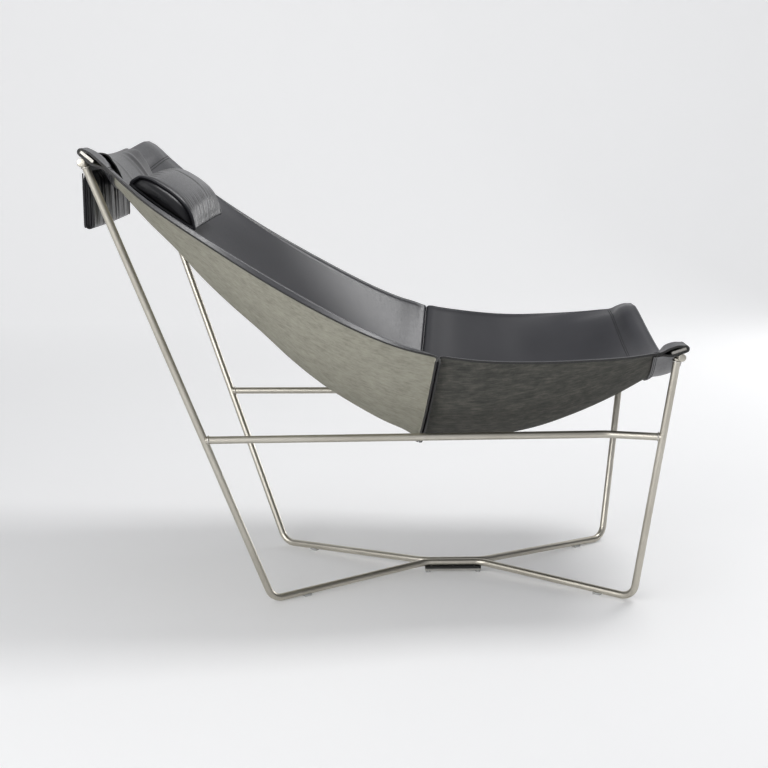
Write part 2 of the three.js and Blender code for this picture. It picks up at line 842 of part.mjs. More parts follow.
function pouchSection(inset, rise) {
  const front = pouchFront + inset;
  const back = pouchBack - inset;
  const bottom = pouchBottom + inset;
  const round = (back - front) / 2;
  const middle = (back + front) / 2;
  const floor = pouchFloorShares.map((share) => [
    middle - round * Math.cos(Math.PI * share),
    bottom + round - round * Math.sin(Math.PI * share),
  ]);
  const mouthFront = strapBackReach - strapRoom - (pouchWall - inset);
  return [
    ...floor,
    [back, pouchShoulder - inset],
    [back, pouchTop + rise],
    [mouthFront, pouchTop + rise],
    [mouthFront, pouchTop],
    [front, pouchShoulder - inset],
  ];
}

// Place across the pouch, and how much of its depth is left there in front of the strap
const pouchNarrowingShares = [[-1, 0.5], [-0.96, 0.92], [0, 1], [0.96, 0.92], [1, 0.5]];

function pouchLoft(inset, rise, halfWidth) {
  const middle = strapBackReach;
  return loft(pouchNarrowingShares.map(([share, depthShare]) => (
    pouchSection(inset, rise).map(([y, z]) => {
      const reach = inset > 0 ? y : middle + (y - middle) * (y < middle ? depthShare : 1);
      return new THREE.Vector3(share * halfWidth, reach, z);
    }))));
}

function counterweightPouch() {
  const inner = pouchLoft(pouchWall, cutOverrun, strapHalfWidth + fitGap * 2);
  return cut(pouchLoft(0, 0, pouchHalfWidth), [inner]);
}

function counterweightBar() {
  const front = pouchFront + pouchWall + fitGap;
  const bottom = pouchBottom + pouchDepth / 2;
  const geometry = new THREE.BoxGeometry(2 * weightHalfLength, weightThickness, weightHeight);
  return geometry.translate(0, front + weightThickness / 2, bottom + weightHeight / 2);
}

// Materials
const nickelSteel = { color: 0xa8a49a, metalness: 0.9, roughness: 0.35 };
const plainSteel = { color: 0x9a9a96, metalness: 0.85, roughness: 0.45 };
const blackLeather = { color: 0x1b1b1d, metalness: 0, roughness: 0.45 };
const blackRubber = { color: 0x151515, metalness: 0, roughness: 0.8 };
const clearPlastic = { color: 0xd8dad6, metalness: 0, roughness: 0.3 };
const paleFoam = { color: 0xd9d2b8, metalness: 0, roughness: 0.95 };

const chair = new THREE.Group();

function addPiece(name, geometry, looks) {
  const mesh = new THREE.Mesh(geometry, new THREE.MeshStandardMaterial(looks));
  mesh.name = name;
  chair.add(mesh);
}

const sides = [['left', -1, 0], ['right', 1, 1]];
for (const [word, side, slot] of sides) {
  const headScrew = headScrews[slot];
  const frontScrew = frontScrews[slot];
  const stubScrew = screwProfile(stubScrewLength);
  const baseScrew = screwProfile(baseScrewLength);
  addPiece(`side_frame_${word}`, sideFrame(side), nickelSteel);
  addPiece(`side_rail_${word}`, sideRail(side), nickelSteel);
  addPiece(`head_stub_${word}`, stub(headBar, side, headScrew), nickelSteel);
  addPiece(`front_stub_${word}`, stub(frontBar, side, frontScrew), nickelSteel);
  addPiece(`head_bar_screw_${word}`, turnedAlong(headScrew.start, headScrew.up, stubScrew), plainSteel);
  addPiece(`front_bar_screw_${word}`, turnedAlong(frontScrew.start, frontScrew.up, stubScrew), plainSteel);
  baseScrewRows.forEach((row, k) => {
    const line = baseScrewLine(side, row);
    addPiece(`base_screw_${word}_${k + 1}`, turnedAlong(line.start, line.up, baseScrew), plainSteel);
  });
  addPiece(`plate_glide_rear_${word}`, plateGlide(side, 1), clearPlastic);
  addPiece(`plate_glide_front_${word}`, plateGlide(side, -1), clearPlastic);
  addPiece(`floor_glide_rear_${word}`, floorGlide(side, rearFoot, rearCentre), clearPlastic);
  addPiece(`floor_glide_front_${word}`, floorGlide(side, frontFoot, frontCentre), clearPlastic);
}
addPiece('head_flat_bar', flatBar(headBar, headScrews), plainSteel);
addPiece('front_flat_bar', flatBar(frontBar, frontScrews), plainSteel);
addPiece('base_plate', basePlate(), plainSteel);
addPiece('base_pad', basePad(), blackRubber);
addPiece(
  'back_panel',
  cut(
    leatherPanel(headBar, backSurface, backPlaceShares, backRimFlare, backFlareDropShare),
    headScrews.map((line) => holeAlong(line, stubScrewLength)),
  ),
  blackLeather,
);
addPiece(
  'seat_panel',
  cut(
    leatherPanel(frontBar, seatSurface, seatPlaceShares, seatRimFlare, seatFlareDropShare),
    frontScrews.map((line) => holeAlong(line, stubScrewLength)),
  ),
  blackLeather,
);
addPiece('neck_cushion_cover', neckCushionCover(), blackLeather);
addPiece('neck_cushion_foam', cushionLoft(cushionWall + fitGap), paleFoam);
addPiece('neck_strap', neckStrap(), blackLeather);
addPiece('counterweight_pouch', counterweightPouch(), blackLeather);
addPiece('counterweight_bar', counterweightBar(), plainSteel);

// The origin is under the middle of the whole chair
const extent = new THREE.Box3().setFromObject(chair);
chair.position.set(0, -(extent.min.y + extent.max.y) / 2, -extent.min.z);

export default chair;
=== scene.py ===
import json
import math

import bpy
import numpy as np
from mathutils import Matrix, Vector


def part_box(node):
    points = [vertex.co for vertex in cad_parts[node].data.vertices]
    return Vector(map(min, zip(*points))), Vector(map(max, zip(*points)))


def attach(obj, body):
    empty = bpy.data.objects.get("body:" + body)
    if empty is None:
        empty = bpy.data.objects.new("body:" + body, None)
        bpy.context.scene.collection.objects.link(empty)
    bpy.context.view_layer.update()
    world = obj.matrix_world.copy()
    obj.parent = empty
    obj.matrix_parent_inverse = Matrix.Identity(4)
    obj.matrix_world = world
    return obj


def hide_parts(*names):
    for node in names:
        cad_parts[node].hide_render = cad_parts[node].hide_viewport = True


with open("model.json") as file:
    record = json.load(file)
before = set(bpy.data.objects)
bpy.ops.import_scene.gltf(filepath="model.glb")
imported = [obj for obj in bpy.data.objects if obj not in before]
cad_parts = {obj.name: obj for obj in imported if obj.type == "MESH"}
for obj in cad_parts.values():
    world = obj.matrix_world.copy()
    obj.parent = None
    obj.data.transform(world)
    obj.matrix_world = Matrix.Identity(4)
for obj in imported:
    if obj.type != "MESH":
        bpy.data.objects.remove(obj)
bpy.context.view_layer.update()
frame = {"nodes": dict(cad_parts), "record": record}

mm = 0.001
scene = bpy.context.scene

# Viewpoint
# The chair is seen square from its left side, a little above its head bar, from 2.8 m away
# with a long lens.
camera_place = (-2782.2 * mm, 8.9 * mm, 830.3 * mm)
camera_turn_degrees = (80.2364, 0.4969, -90.0339)
camera_lens = 72.84
film_width = 36

bpy.ops.object.camera_add(
    location=camera_place,
    rotation=[math.radians(turn) for turn in camera_turn_degrees],
)
camera = bpy.context.object
camera.data.lens = camera_lens
camera.data.sensor_width = film_width
camera.data.sensor_fit = "HORIZONTAL"
scene.camera = camera

# Studio
# A pale painted floor that curves up into a backdrop, a pale room with dark end walls, and
# large soft lamps overhead, at both ends of the chair and on the side that is seen.
stage_near = -4200 * mm
stage_far = 3600 * mm
stage_half_length = 5200 * mm
cove_radius = 1400 * mm
backdrop_height = 5200 * mm
stage_colour = (0.72, 0.72, 0.722, 1)
backdrop_colour = (0.80, 0.80, 0.805, 1)
room_colour = (0.85, 0.865, 0.90, 1)
end_wall_colour = (0.12, 0.12, 0.13, 1)
room_strength = 0.52
glow_start = 400 * mm
floor_glow = 0.22
backdrop_glow = 0.58
stage_roughness = 0.55
stage_shine = 0.25

bpy.ops.mesh.primitive_plane_add(size=1)
floor = bpy.context.object
floor.name = "studio_floor"
floor.scale = (stage_far - stage_near, 2 * stage_half_length, 1)
floor.location = ((stage_far + stage_near) / 2, 0, 0)
bpy.ops.object.transform_apply(location=True, rotation=True, scale=True)
bpy.ops.object.mode_set(mode="EDIT")
bpy.ops.mesh.select_all(action="DESELECT")
bpy.ops.object.mode_set(mode="OBJECT")
for edge in floor.data.edges:
    edge.select = all(floor.data.vertices[v].co.x > stage_far - mm for v in edge.vertices)
bpy.ops.object.mode_set(mode="EDIT")
bpy.ops.mesh.select_mode(type="EDGE")
bpy.ops.mesh.spin(steps=16, angle=math.pi / 2, center=(stage_far, 0, cove_radius), axis=(0, 1, 0))
bpy.ops.mesh.extrude_region_move(TRANSFORM_OT_translate={"value": (0, 0, backdrop_height)})
bpy.ops.object.mode_set(mode="OBJECT")
bpy.ops.object.shade_smooth()
floor_paint = bpy.data.materials.new("studio_floor_paint")
floor_paint.use_nodes = True
tree = floor_paint.node_tree
paint = tree.nodes["Principled BSDF"]
paint.inputs["Base Color"].default_value = stage_colour
paint.inputs["Emission Color"].default_value = stage_colour
paint.inputs["Roughness"].default_value = stage_roughness
paint.inputs["Specular IOR Level"].default_value = stage_shine
rays = tree.nodes.new("ShaderNodeLightPath")
seen = tree.nodes.new("ShaderNodeMath")
seen.operation = "MAXIMUM"
glow = tree.nodes.new("ShaderNodeMath")
glow.operation = "MULTIPLY"
stage_place = tree.nodes.new("ShaderNodeTexCoord")
stage_parts = tree.nodes.new("ShaderNodeSeparateXYZ")
glow_rise = tree.nodes.new("ShaderNodeMapRange")
glow_rise.inputs["From Min"].default_value = glow_start
glow_rise.inputs["From Max"].default_value = stage_far
glow_rise.inputs["To Min"].default_value = floor_glow
glow_rise.inputs["To Max"].default_value = backdrop_glow
tree.links.new(stage_place.outputs["Object"], stage_parts.inputs["Vector"])
tree.links.new(stage_parts.outputs["X"], glow_rise.inputs["Value"])
tree.links.new(glow_rise.outputs["Result"], glow.inputs[1])
tree.links.new(rays.outputs["Is Camera Ray"], seen.inputs[0])
tree.links.new(rays.outputs["Is Glossy Ray"], seen.inputs[1])
tree.links.new(seen.outputs["Value"], glow.inputs[0])
tree.links.new(glow.outputs["Value"], paint.inputs["Emission Strength"])
floor.data.materials.append(floor_paint)

room = bpy.data.worlds.new("studio_room")
room.use_nodes = True
tree = room.node_tree
direction = tree.nodes.new("ShaderNodeTexCoord")
parts = tree.nodes.new("ShaderNodeSeparateXYZ")
sideways = tree.nodes.new("ShaderNodeMath")
sideways.operation = "ABSOLUTE"
walls = tree.nodes.new("ShaderNodeValToRGB")
walls.color_ramp.elements[0].position = 0.45
walls.color_ramp.elements[0].color = room_colour
walls.color_ramp.elements[1].position = 0.85
walls.color_ramp.elements[1].color = end_wall_colour
tree.links.new(direction.outputs["Generated"], parts.inputs["Vector"])
tree.links.new(parts.outputs["Y"], sideways.inputs[0])
tree.links.new(sideways.outputs["Value"], walls.inputs["Fac"])
tree.links.new(walls.outputs["Color"], tree.nodes["Background"].inputs["Color"])
tree.nodes["Background"].inputs["Strength"].default_value = room_strength
plain_view = tree.nodes.new("ShaderNodeBackground")
plain_view.inputs["Color"].default_value = backdrop_colour
sight = tree.nodes.new("ShaderNodeLightPath")
either = tree.nodes.new("ShaderNodeMixShader")
tree.links.new(sight.outputs["Is Camera Ray"], either.inputs[0])
tree.links.new(tree.nodes["Background"].outputs["Background"], either.inputs[1])
tree.links.new(plain_view.outputs["Background"], either.inputs[2])
tree.links.new(either.outputs["Shader"], tree.nodes["World Output"].inputs["Surface"])
scene.world = room
scene.view_settings.view_transform = "Standard"

# name, place, turn in degrees, width, length, power
lamps = [
    ("front_upper_lamp", (0.14, -1.15, 2.6), (27.3, -4.2, 0), 0.9, 0.9, 36),
    ("overhead_lamp", (-0.3, 0.2, 3.2), (0, 0, 0), 2.4, 2.4, 8),
    ("far_front_lamp", (2.5, -2.6, 0.9), (75, 0, 40), 1.1, 1.3, 30),
    ("head_end_lamp", (-1.4, 2.6, 1.7), (-60, 0, -28), 1.4, 2.0, 12),
    ("near_fill_lamp", (-3.0, 2.5, 1.5), (0, -75.3, -36.3), 3.0, 2.4, 66),
    ("near_side_lamp", (-2.9, 1.2, 1.1), (0, -80.6, -17.2), 0.8, 1.0, 13),
]
for lamp_name, place, turn, width, length, power in lamps:
    bpy.ops.object.light_add(type="AREA", location=place, rotation=[math.radians(a) for a in turn])
    lamp = bpy.context.object
    lamp.name = lamp_name
    lamp.data.shape = "RECTANGLE"
    lamp.data.size = width
    lamp.data.size_y = length
    lamp.data.energy = power

# Steel rod frame
# Each side is one length of half-inch bar, bent at the feet and at the middle, matt nickel
# plated. Its legs end under short rod stubs, and a kinked rail is welded between them.
rod_radius = 6.35 * mm
rod_facets = 32
bend_steps = 10
smooth_angle = math.radians(40)
head_leg_reach = 325 * mm
head_leg_shift = -0.5 * mm
front_leg_reach = 268 * mm
front_leg_shift = 4.2 * mm
foot_bend = 28 * mm
centre_bend = 40 * mm
rail_bend = 60 * mm
plate_low, plate_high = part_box("base_plate")
chair_middle = (plate_low[1] + plate_high[1]) / 2
pad_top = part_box("base_pad")[1][2]
rod_gap = 0.3 * mm
rear_foot = Vector((185.5 * mm, chair_middle + 320.8 * mm, rod_radius))
front_foot = Vector((194.8 * mm, chair_middle - 303.2 * mm, rod_radius))
centre_run = 105 * mm
rail_height = 300 * mm
rail_kink = Vector((216.8 * mm, chair_middle - 248.9 * mm, rail_height))
centre_half_width = rod_radius + rod_gap / 2
centre_height = pad_top + rod_gap + rod_radius


def noise_bump(tree, coordinates, scale, strength, distance, normal=None):
    noise = tree.nodes.new("ShaderNodeTexNoise")
    noise.inputs["Scale"].default_value = scale
    noise.inputs["Detail"].default_value = 6
    bump = tree.nodes.new("ShaderNodeBump")
    bump.inputs["Strength"].default_value = strength
    bump.inputs["Distance"].default_value = distance
    tree.links.new(coordinates, noise.inputs["Vector"])
    tree.links.new(noise.outputs["Fac"], bump.inputs["Height"])
    if normal is not None:
        tree.links.new(normal, bump.inputs["Normal"])
    return bump.outputs["Normal"]


def ramp(tree, factor, stops):
    node = tree.nodes.new("ShaderNodeValToRGB")
    elements = node.color_ramp.elements
    while len(elements) < len(stops):
        elements.new(0.5)
    for element, (position, colour) in zip(elements, stops):
        element.position = position
        element.color = (*colour, 1)
    tree.links.new(factor, node.inputs["Fac"])
    return node.outputs["Color"]


# Colour clouds shared by the finishes: a slow mottle and a fine speckle, each from 0 to 1
clouds = bpy.data.node_groups.new("mottle_and_speckle", "ShaderNodeTree")
for socket, way, kind in (
    ("Place", "INPUT", "Vector"), ("Mottle Scale", "INPUT", "Float"), ("Speckle Scale", "INPUT", "Float"),
    ("Mottle", "OUTPUT", "Float"), ("Speckle", "OUTPUT", "Float"),
):
    clouds.interface.new_socket(name=socket, in_out=way, socket_type=f"NodeSocket{kind}")
clouds_in = clouds.nodes.new("NodeGroupInput")
clouds_out = clouds.nodes.new("NodeGroupOutput")
for output, detail in (("Mottle", 3), ("Speckle", 8)):
    cloud = clouds.nodes.new("ShaderNodeTexNoise")
    cloud.inputs["Detail"].default_value = detail
    clouds.links.new(clouds_in.outputs["Place"], cloud.inputs["Vector"])
    clouds.links.new(clouds_in.outputs[output + " Scale"], cloud.inputs["Scale"])
    clouds.links.new(cloud.outputs["Fac"], clouds_out.inputs[output])


def grouped_finish(name, node_group, scales):
    """A new finish with one of the node groups on it, laid out on the object."""
    finish = bpy.data.materials.new(name)
    finish.use_nodes = True
    tree = finish.node_tree
    place = tree.nodes.new("ShaderNodeTexCoord")
    group = tree.nodes.new("ShaderNodeGroup")
    group.node_tree = node_group
    for socket, scale in zip(group.inputs[1:], scales):
        socket.default_value = scale
    tree.links.new(place.outputs["Object"], group.inputs["Place"])
    return finish, tree, tree.nodes["Principled BSDF"], place.outputs["Object"], group


def new_finish(name, scales, cloud, shades, roughness, metallic=0, bump=None):
    """A finish whose shade follows one of the clouds. A list of roughness follows the speckle."""
    finish, tree, shader, place, group = grouped_finish(name, clouds, scales)
    tree.links.new(ramp(tree, group.outputs[cloud], shades), shader.inputs["Base Color"])
    if isinstance(roughness, list):
        greys = [(position, (grey, grey, grey)) for position, grey in roughness]
        tree.links.new(ramp(tree, group.outputs["Speckle"], greys), shader.inputs["Roughness"])
    else:
        shader.inputs["Roughness"].default_value = roughness
    shader.inputs["Metallic"].default_value = metallic
    if bump:
        tree.links.new(noise_bump(tree, place, *bump), shader.inputs["Normal"])
    return finish


nickel = new_finish(
    "matt_nickel", (9, 420), "Mottle", [(0.3, (0.50, 0.47, 0.405)), (0.7, (0.60, 0.572, 0.505))],
    [(0.3, 0.34), (0.75, 0.44)], metallic=1, bump=(900, 0.12, 0.05 * mm),
)


def finish_piece(piece, name, finish, body):
    piece.name = name
    piece.data.name = name
    if finish is not None:
        piece.data.materials.clear()
        piece.data.materials.append(finish)
    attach(piece, body)


def face_outward():
    """Turns every face of the active piece outward."""
    bpy.ops.object.mode_set(mode="EDIT")
    bpy.ops.mesh.select_all(action="SELECT")
    bpy.ops.mesh.normals_make_consistent(inside=False)
    bpy.ops.object.mode_set(mode="OBJECT")


def bent_rod(corners, bends):
    """A round rod along corners, extruded on the straight runs and spun round the bends."""
    direction = (corners[1] - corners[0]).normalized()
    bpy.ops.mesh.primitive_circle_add(
        vertices=rod_facets,
        radius=rod_radius,
        location=corners[0],
        rotation=direction.to_track_quat("Z", "Y").to_euler(),
    )
    rod = bpy.context.object
    bpy.ops.object.transform_apply(location=True, rotation=True, scale=True)
    bpy.ops.object.mode_set(mode="EDIT")
    bpy.ops.mesh.select_mode(type="EDGE")
    bpy.ops.mesh.select_all(action="SELECT")
    here = corners[0]
    for before, corner, after, bend in zip(corners, corners[1:], corners[2:], bends):
        come = (corner - before).normalized()
        leave = (after - corner).normalized()
        turn = come.angle(leave)
        tangent = bend * math.tan(turn / 2)
        start = corner - come * tangent
        axis = come.cross(leave).normalized()
        centre = start + axis.cross(come) * bend
        bpy.ops.mesh.extrude_region_move(TRANSFORM_OT_translate={"value": start - here})
        bpy.ops.mesh.spin(steps=bend_steps, angle=-turn, center=centre, axis=axis)
        here = corner + leave * tangent
    bpy.ops.mesh.extrude_region_move(TRANSFORM_OT_translate={"value": corners[-1] - here})
    bpy.ops.mesh.select_all(action="SELECT")
    bpy.ops.mesh.remove_doubles(threshold=0.01 * mm)
    bpy.ops.mesh.fill_holes(sides=0)
    face_outward()
    bpy.ops.object.shade_smooth_by_angle(angle=smooth_angle)
    return rod


def turned_over(point, side):
    return Vector((side * point[0], point[1], point[2]))


stub_low, stub_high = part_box("head_stub_right")
head_stub_middle = (Vector(stub_low) + Vector(stub_high)) / 2
stub_low, stub_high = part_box("front_stub_right")
front_stub_middle = (Vector(stub_low) + Vector(stub_high)) / 2
head_leg_top = Vector((
    head_leg_reach, head_stub_middle.y + head_leg_shift, head_stub_middle.z - rod_radius / 2,
))
front_leg_top = Vector((
    front_leg_reach, front_stub_middle.y + front_leg_shift, front_stub_middle.z - rod_radius / 2,
))
rear_centre = Vector((centre_half_width, chair_middle + centre_run / 2, centre_height))
front_centre = Vector((centre_half_width, chair_middle - centre_run / 2, centre_height))


def on_leg(foot, top, height):
    return foot.lerp(top, (height - foot.z) / (top.z - foot.z))


rail_ends = (on_leg(rear_foot, head_leg_top, rail_height), on_leg(front_foot, front_leg_top, rail_height))
for word, side in (("left", -1), ("right", 1)):
    corners = (head_leg_top, rear_foot, rear_centre, front_centre, front_foot, front_leg_top)
    rod = bent_rod(
        [turned_over(corner, side) for corner in corners],
        (foot_bend, centre_bend, centre_bend, foot_bend),
    )
    finish_piece(rod, f"bent_side_rod_{word}", nickel, "chair")
    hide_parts(f"side_frame_{word}")
    rail = bent_rod(
        [turned_over(corner, side) for corner in (rail_ends[0], rail_kink, rail_ends[1])],
        (rail_bend,),
    )
    finish_piece(rail, f"kinked_rail_{word}", nickel, "chair")
    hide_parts(f"side_rail_{word}")

# Rod stubs
# Short pieces of the same bar across the top of each leg, with turned ends. The flat bars are
# screwed down on them through the leather.
stub_edge = 0.7 * mm
for bar_word in ("head", "front"):
    for word in ("left", "right"):
        node = f"{bar_word}_stub_{word}"
        low, high = (Vector(corner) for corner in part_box(node))
        bpy.ops.mesh.primitive_cylinder_add(
            vertices=rod_facets,
            radius=rod_radius,
            depth=high.x - low.x,
            location=(low + high) / 2,
            rotation=(0, math.pi / 2, 0),
        )
        stub = bpy.context.object
        bpy.ops.object.transform_apply(location=True, rotation=True, scale=True)
        bevel = stub.modifiers.new("turned ends", "BEVEL")
        bevel.width = stub_edge
        bevel.segments = 3
        bevel.limit_method = "ANGLE"
        bevel.angle_limit = math.radians(60)
        bpy.ops.object.modifier_apply(modifier=bevel.name)
        bpy.ops.object.shade_smooth_by_angle(angle=smooth_angle)
        finish_piece(stub, f"turned_{node}", nickel, "chair")
        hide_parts(node)

# Leather sling
# Back and seat are two hides of 3.5 mm saddle leather, smooth and black above, suede below.
# Each is folded round its flat bar and stitched to its own tail, and both are sewn together
# with their edges turned down in a flanged seam. The side edges are left raw and flare out.
leather_thickness = 3.5 * mm
cut_clearance = 0.3 * mm
bar_width = 25 * mm
bar_thickness = 4.5 * mm
loop_height = bar_thickness / 2 + cut_clearance + leather_thickness / 2
loop_inset = 1.2 * mm
tail_run = 9 * mm
straight_share = 0.86
bowl_power = 1.9
bell_power = 2.5
bell_sharp = 1.5
bell_shares = [(0, 0), (0.5, 0), (0.8, 0.35), (1, 0.7)]
slope_share = 0.003
layer_gap = leather_thickness + cut_clearance
seam_reach = 37.2 * mm
seam_height = 453 * mm
seam_half_width = 337 * mm
seam_hollow = 193 * mm
seam_lean = 7.6
seam_flange = 12.5 * mm
seam_bend = 5.5 * mm
seam_rag = 1.4 * mm
seam_spread = 1.4 * mm
frayed_width = 1.6 * mm
least_flare = 2 * mm
finer_steps = 5
head_bar = {
    "side": 1, "half_width": 351 * mm, "reach": 581.4 * mm, "height": 773 * mm, "tilt": 40,
    "bow": 28 * mm, "stitch": 30.4 * mm, "puff": 2.5 * mm, "lean": 40, "hollow": 47 * mm,
    "dip": 0, "flare": 15 * mm, "drop": 0.55,
    "rim": [(0, 0, 1), (0.117, 0.063, 1.012), (0.269, 0.181, 1.02), (0.419, 0.319, 1.01),
            (0.571, 0.47, 0.984), (0.719, 0.631, 0.976), (0.89, 0.836, 1.024), (1, 1, 1.0386)],
    "hollows": [(0, 1), (0.172, 0.907), (0.337, 0.808), (0.499, 0.65), (0.656, 0.529),
                (0.809, 0.377), (0.934, 0.296)],
    "places": (0.96, 0.88, 0.79, 0.69, 0.59, 0.49, 0.39, 0.29, 0.19, 0.1, 0.04),
}
front_bar = {
    "side": -1, "half_width": 289 * mm, "reach": -355.2 * mm, "height": 451.4 * mm, "tilt": 18,
    "bow": 75 * mm, "stitch": 28 * mm, "puff": 3.5 * mm, "lean": -12, "hollow": 80 * mm,
    "dip": 13.3 * mm, "flare": 4 * mm, "drop": 0.2,
    "rim": [(0, 0, 1), (0.181, -0.63, 0.976), (0.408, -1, 0.917), (0.674, -0.81, 0.896),
            (0.849, -0.49, 0.89), (1, 0, 0.862)],
    "hollows": [(0, 1), (0.214, 0.938), (0.427, 0.868), (0.645, 0.725), (0.863, 0.54)],
    "places": (0.95, 0.86, 0.75, 0.63, 0.51, 0.39, 0.28, 0.17, 0.06),
}


def slopes_through(values, gaps):
    """The slope at each value, from the gaps on its two sides."""
    speeds = np.diff(values, axis=0) / gaps
    inner = (speeds[:-1] * gaps[1:] + speeds[1:] * gaps[:-1]) / (gaps[:-1] + gaps[1:])
    return np.concatenate([speeds[:1], inner, speeds[-1:]])


def between(values, slopes, gaps, k, t):
    """The value at the share t of gap k, on a smooth curve."""
    return (
        (2 * t**3 - 3 * t**2 + 1) * values[k] + (3 * t**2 - 2 * t**3) * values[k + 1]
        + ((t**3 - 2 * t**2 + t) * slopes[k] + (t**3 - t**2) * slopes[k + 1]) * gaps[k]
    )


def finer(grid, steps):
    """A smooth run through each line of points along the first axis, with steps to a gap."""
    gaps = np.linalg.norm(np.diff(grid, axis=0), axis=-1).reshape(len(grid) - 1, -1).mean(axis=1)
    gaps = gaps.reshape((-1,) + (1,) * (grid.ndim - 1))
    slopes = slopes_through(grid, gaps)
    rows = [
        between(grid, slopes, gaps, k, step / steps) for k in range(len(gaps)) for step in range(steps)
    ]
    return np.stack(rows + [grid[-1]])


def through(table, column, place):
    """The value of one column of a short table at a place, on a smooth curve."""
    rows = np.array(table, dtype=float)
    x, y = rows[:, 0], rows[:, column]
    gaps = np.diff(x)
    k = int(np.clip(np.searchsorted(x, place) - 1, 0, len(gaps) - 1))
    return between(y, slopes_through(y, gaps), gaps, k, (place - x[k]) / gaps[k])


def bell(share):
    """How far the load bows a bar: 1 in its middle and 0 on the straight parts at its ends."""
    return (1 - min(abs(share) / straight_share, 1) ** bell_power) ** bell_sharp


def bar_point(bar, across, inward, rise):
    tilt = math.radians(bar["tilt"])
    to_sling = np.array([0, -bar["side"] * math.cos(tilt), -math.sin(tilt)])
    flat_normal = np.array([0, -bar["side"] * math.sin(tilt), math.cos(tilt)])

    def centre(share):
        end = np.array([bar["half_width"] * share, chair_middle + bar["reach"], bar["height"]])
        return end - flat_normal * bar["bow"] * bell(share)

    along = centre(across + slope_share) - centre(across - slope_share)
    up = np.cross(along / np.linalg.norm(along), to_sling)
    up = up / np.linalg.norm(up)
    if up[2] < 0:
        up = -up
    return centre(across) + to_sling * inward + up * rise


def sling_point(bar, place, across):
    end = bar_point(bar, 1, bar["stitch"], loop_height + bar["puff"] / 2)
    run = end[1] - chair_middle - seam_reach
    rise = end[2] - seam_height
    share = through(bar["rim"], 1, place)
    rim_rise = rise * place + bar["dip"] * share if bar["dip"] else rise * share
    lean = math.radians(seam_lean + (bar["lean"] - seam_lean) * place)
    fade = min(max(through(bell_shares, 1, place), 0), 1)
    hollows = [(spot, depth * seam_hollow) for spot, depth in bar["hollows"]]
    hollow = through(hollows + [(1, bar["hollow"])], 1, place)
    bowl = 1 - min(abs(across), 1) ** bowl_power
    hollow = hollow * (bowl * (1 - fade) + bell(across) * fade)
    return np.array([
        seam_half_width * through(bar["rim"], 2, place) * across,
        chair_middle + seam_reach + run * place + hollow * math.sin(lean),
        seam_height + rim_rise - hollow * math.cos(lean),
    ])


def sling_normal(bar, place, across):
    step = slope_share
    inward = min(max(across, step - 1), 1 - step)
    lengthwise = sling_point(bar, place + step, inward) - sling_point(bar, place - step, inward)
    crosswise = sling_point(bar, place, inward + step) - sling_point(bar, place, inward - step)
    normal = np.cross(crosswise, lengthwise)
    normal = normal / np.linalg.norm(normal)
    return -normal if normal[2] < 0 else normal


seam_turn = math.radians(seam_lean)
seam_aside = np.array([0, math.cos(seam_turn), math.sin(seam_turn)])


def seam_outward(across):
    """The way that the flange hangs from the seam, square to the hollow."""
    slope = seam_hollow / seam_half_width * bowl_power * abs(across) ** (bowl_power - 1)
    outward = np.array([slope * np.sign(across), math.sin(seam_turn), -math.cos(seam_turn)])
    return outward / np.linalg.norm(outward)


def sling_column(bar, across):
    """Middle points of one hide from its tail, round its bar and down to its seam flange."""
    half = bar_width / 2
    turn_centre = loop_inset - half
    tail_place = 1 - tail_run / abs(bar["reach"] - seam_reach)
    column = [
        sling_point(bar, tail_place, across) - sling_normal(bar, tail_place, across) * layer_gap,
        sling_point(bar, 1, across) - sling_normal(bar, 1, across) * layer_gap,
        bar_point(bar, across, half, -loop_height),
        bar_point(bar, across, 0, -loop_height),
    ]
    for turn in np.linspace(-90, 90, 7):
        angle = math.radians(turn)
        inward = turn_centre - loop_height * math.cos(angle)
        column.append(bar_point(bar, across, inward, loop_height * math.sin(angle)))
    column.append(bar_point(bar, across, 0, loop_height + bar["puff"]))
    column.append(bar_point(bar, across, half, loop_height + bar["puff"]))
    column.append(sling_point(bar, 1, across))
    column += [sling_point(bar, place, across) for place in bar["places"]]
    aside = seam_aside * bar["side"]
    outward = seam_outward(across)
    seam = sling_point(bar, 0, across)
    flange_side = layer_gap / 2
    for turn in np.linspace(0, 90, 4):
        angle = math.radians(turn)
        column.append(
            seam + aside * (flange_side + seam_bend * (1 - math.sin(angle)))
            + outward * seam_bend * (1 - math.cos(angle))
        )
    ragged = seam_rag * (math.sin(31 * across) + math.sin(53 * across + bar["side"])) / 2
    column.append(seam + aside * (flange_side + seam_spread) + outward * (seam_flange + ragged))
    return np.array(column)


def new_piece(name, points, faces):
    mesh = bpy.data.meshes.new(name)
    mesh.from_pydata(points, [], faces)
    piece = bpy.data.objects.new(name, mesh)
    scene.collection.objects.link(piece)
    bpy.ops.object.select_all(action="DESELECT")
    piece.select_set(True)
    bpy.context.view_layer.objects.active = piece
    return piece


def sheet_mesh(name, grid):
    """Quads over a grid of points."""
    rows, columns = grid.shape[:2]
    faces = [
        (j * columns + i, j * columns + i + 1, (j + 1) * columns + i + 1, (j + 1) * columns + i)
        for j in range(rows - 1) for i in range(columns - 1)
    ]
    return new_piece(name, grid.reshape(-1, 3).tolist(), faces)


def thicken(piece, thickness, edge):
    """Thickness for the active sheet, with its rubbed edges rounded."""
    solid = piece.modifiers.new("thickness", "SOLIDIFY")
    solid.thickness = thickness
    solid.offset = 0
    solid.use_even_offset = False
    solid.material_offset = 1
    solid.material_offset_rim = 2
    bpy.ops.object.modifier_apply(modifier=solid.name)
    bevel = piece.modifiers.new("worn edge", "BEVEL")
    bevel.width = edge
    bevel.segments = 2
    bevel.limit_method = "ANGLE"
    bevel.angle_limit = math.radians(60)
    bpy.ops.object.modifier_apply(modifier=bevel.name)
    bpy.ops.object.shade_smooth()


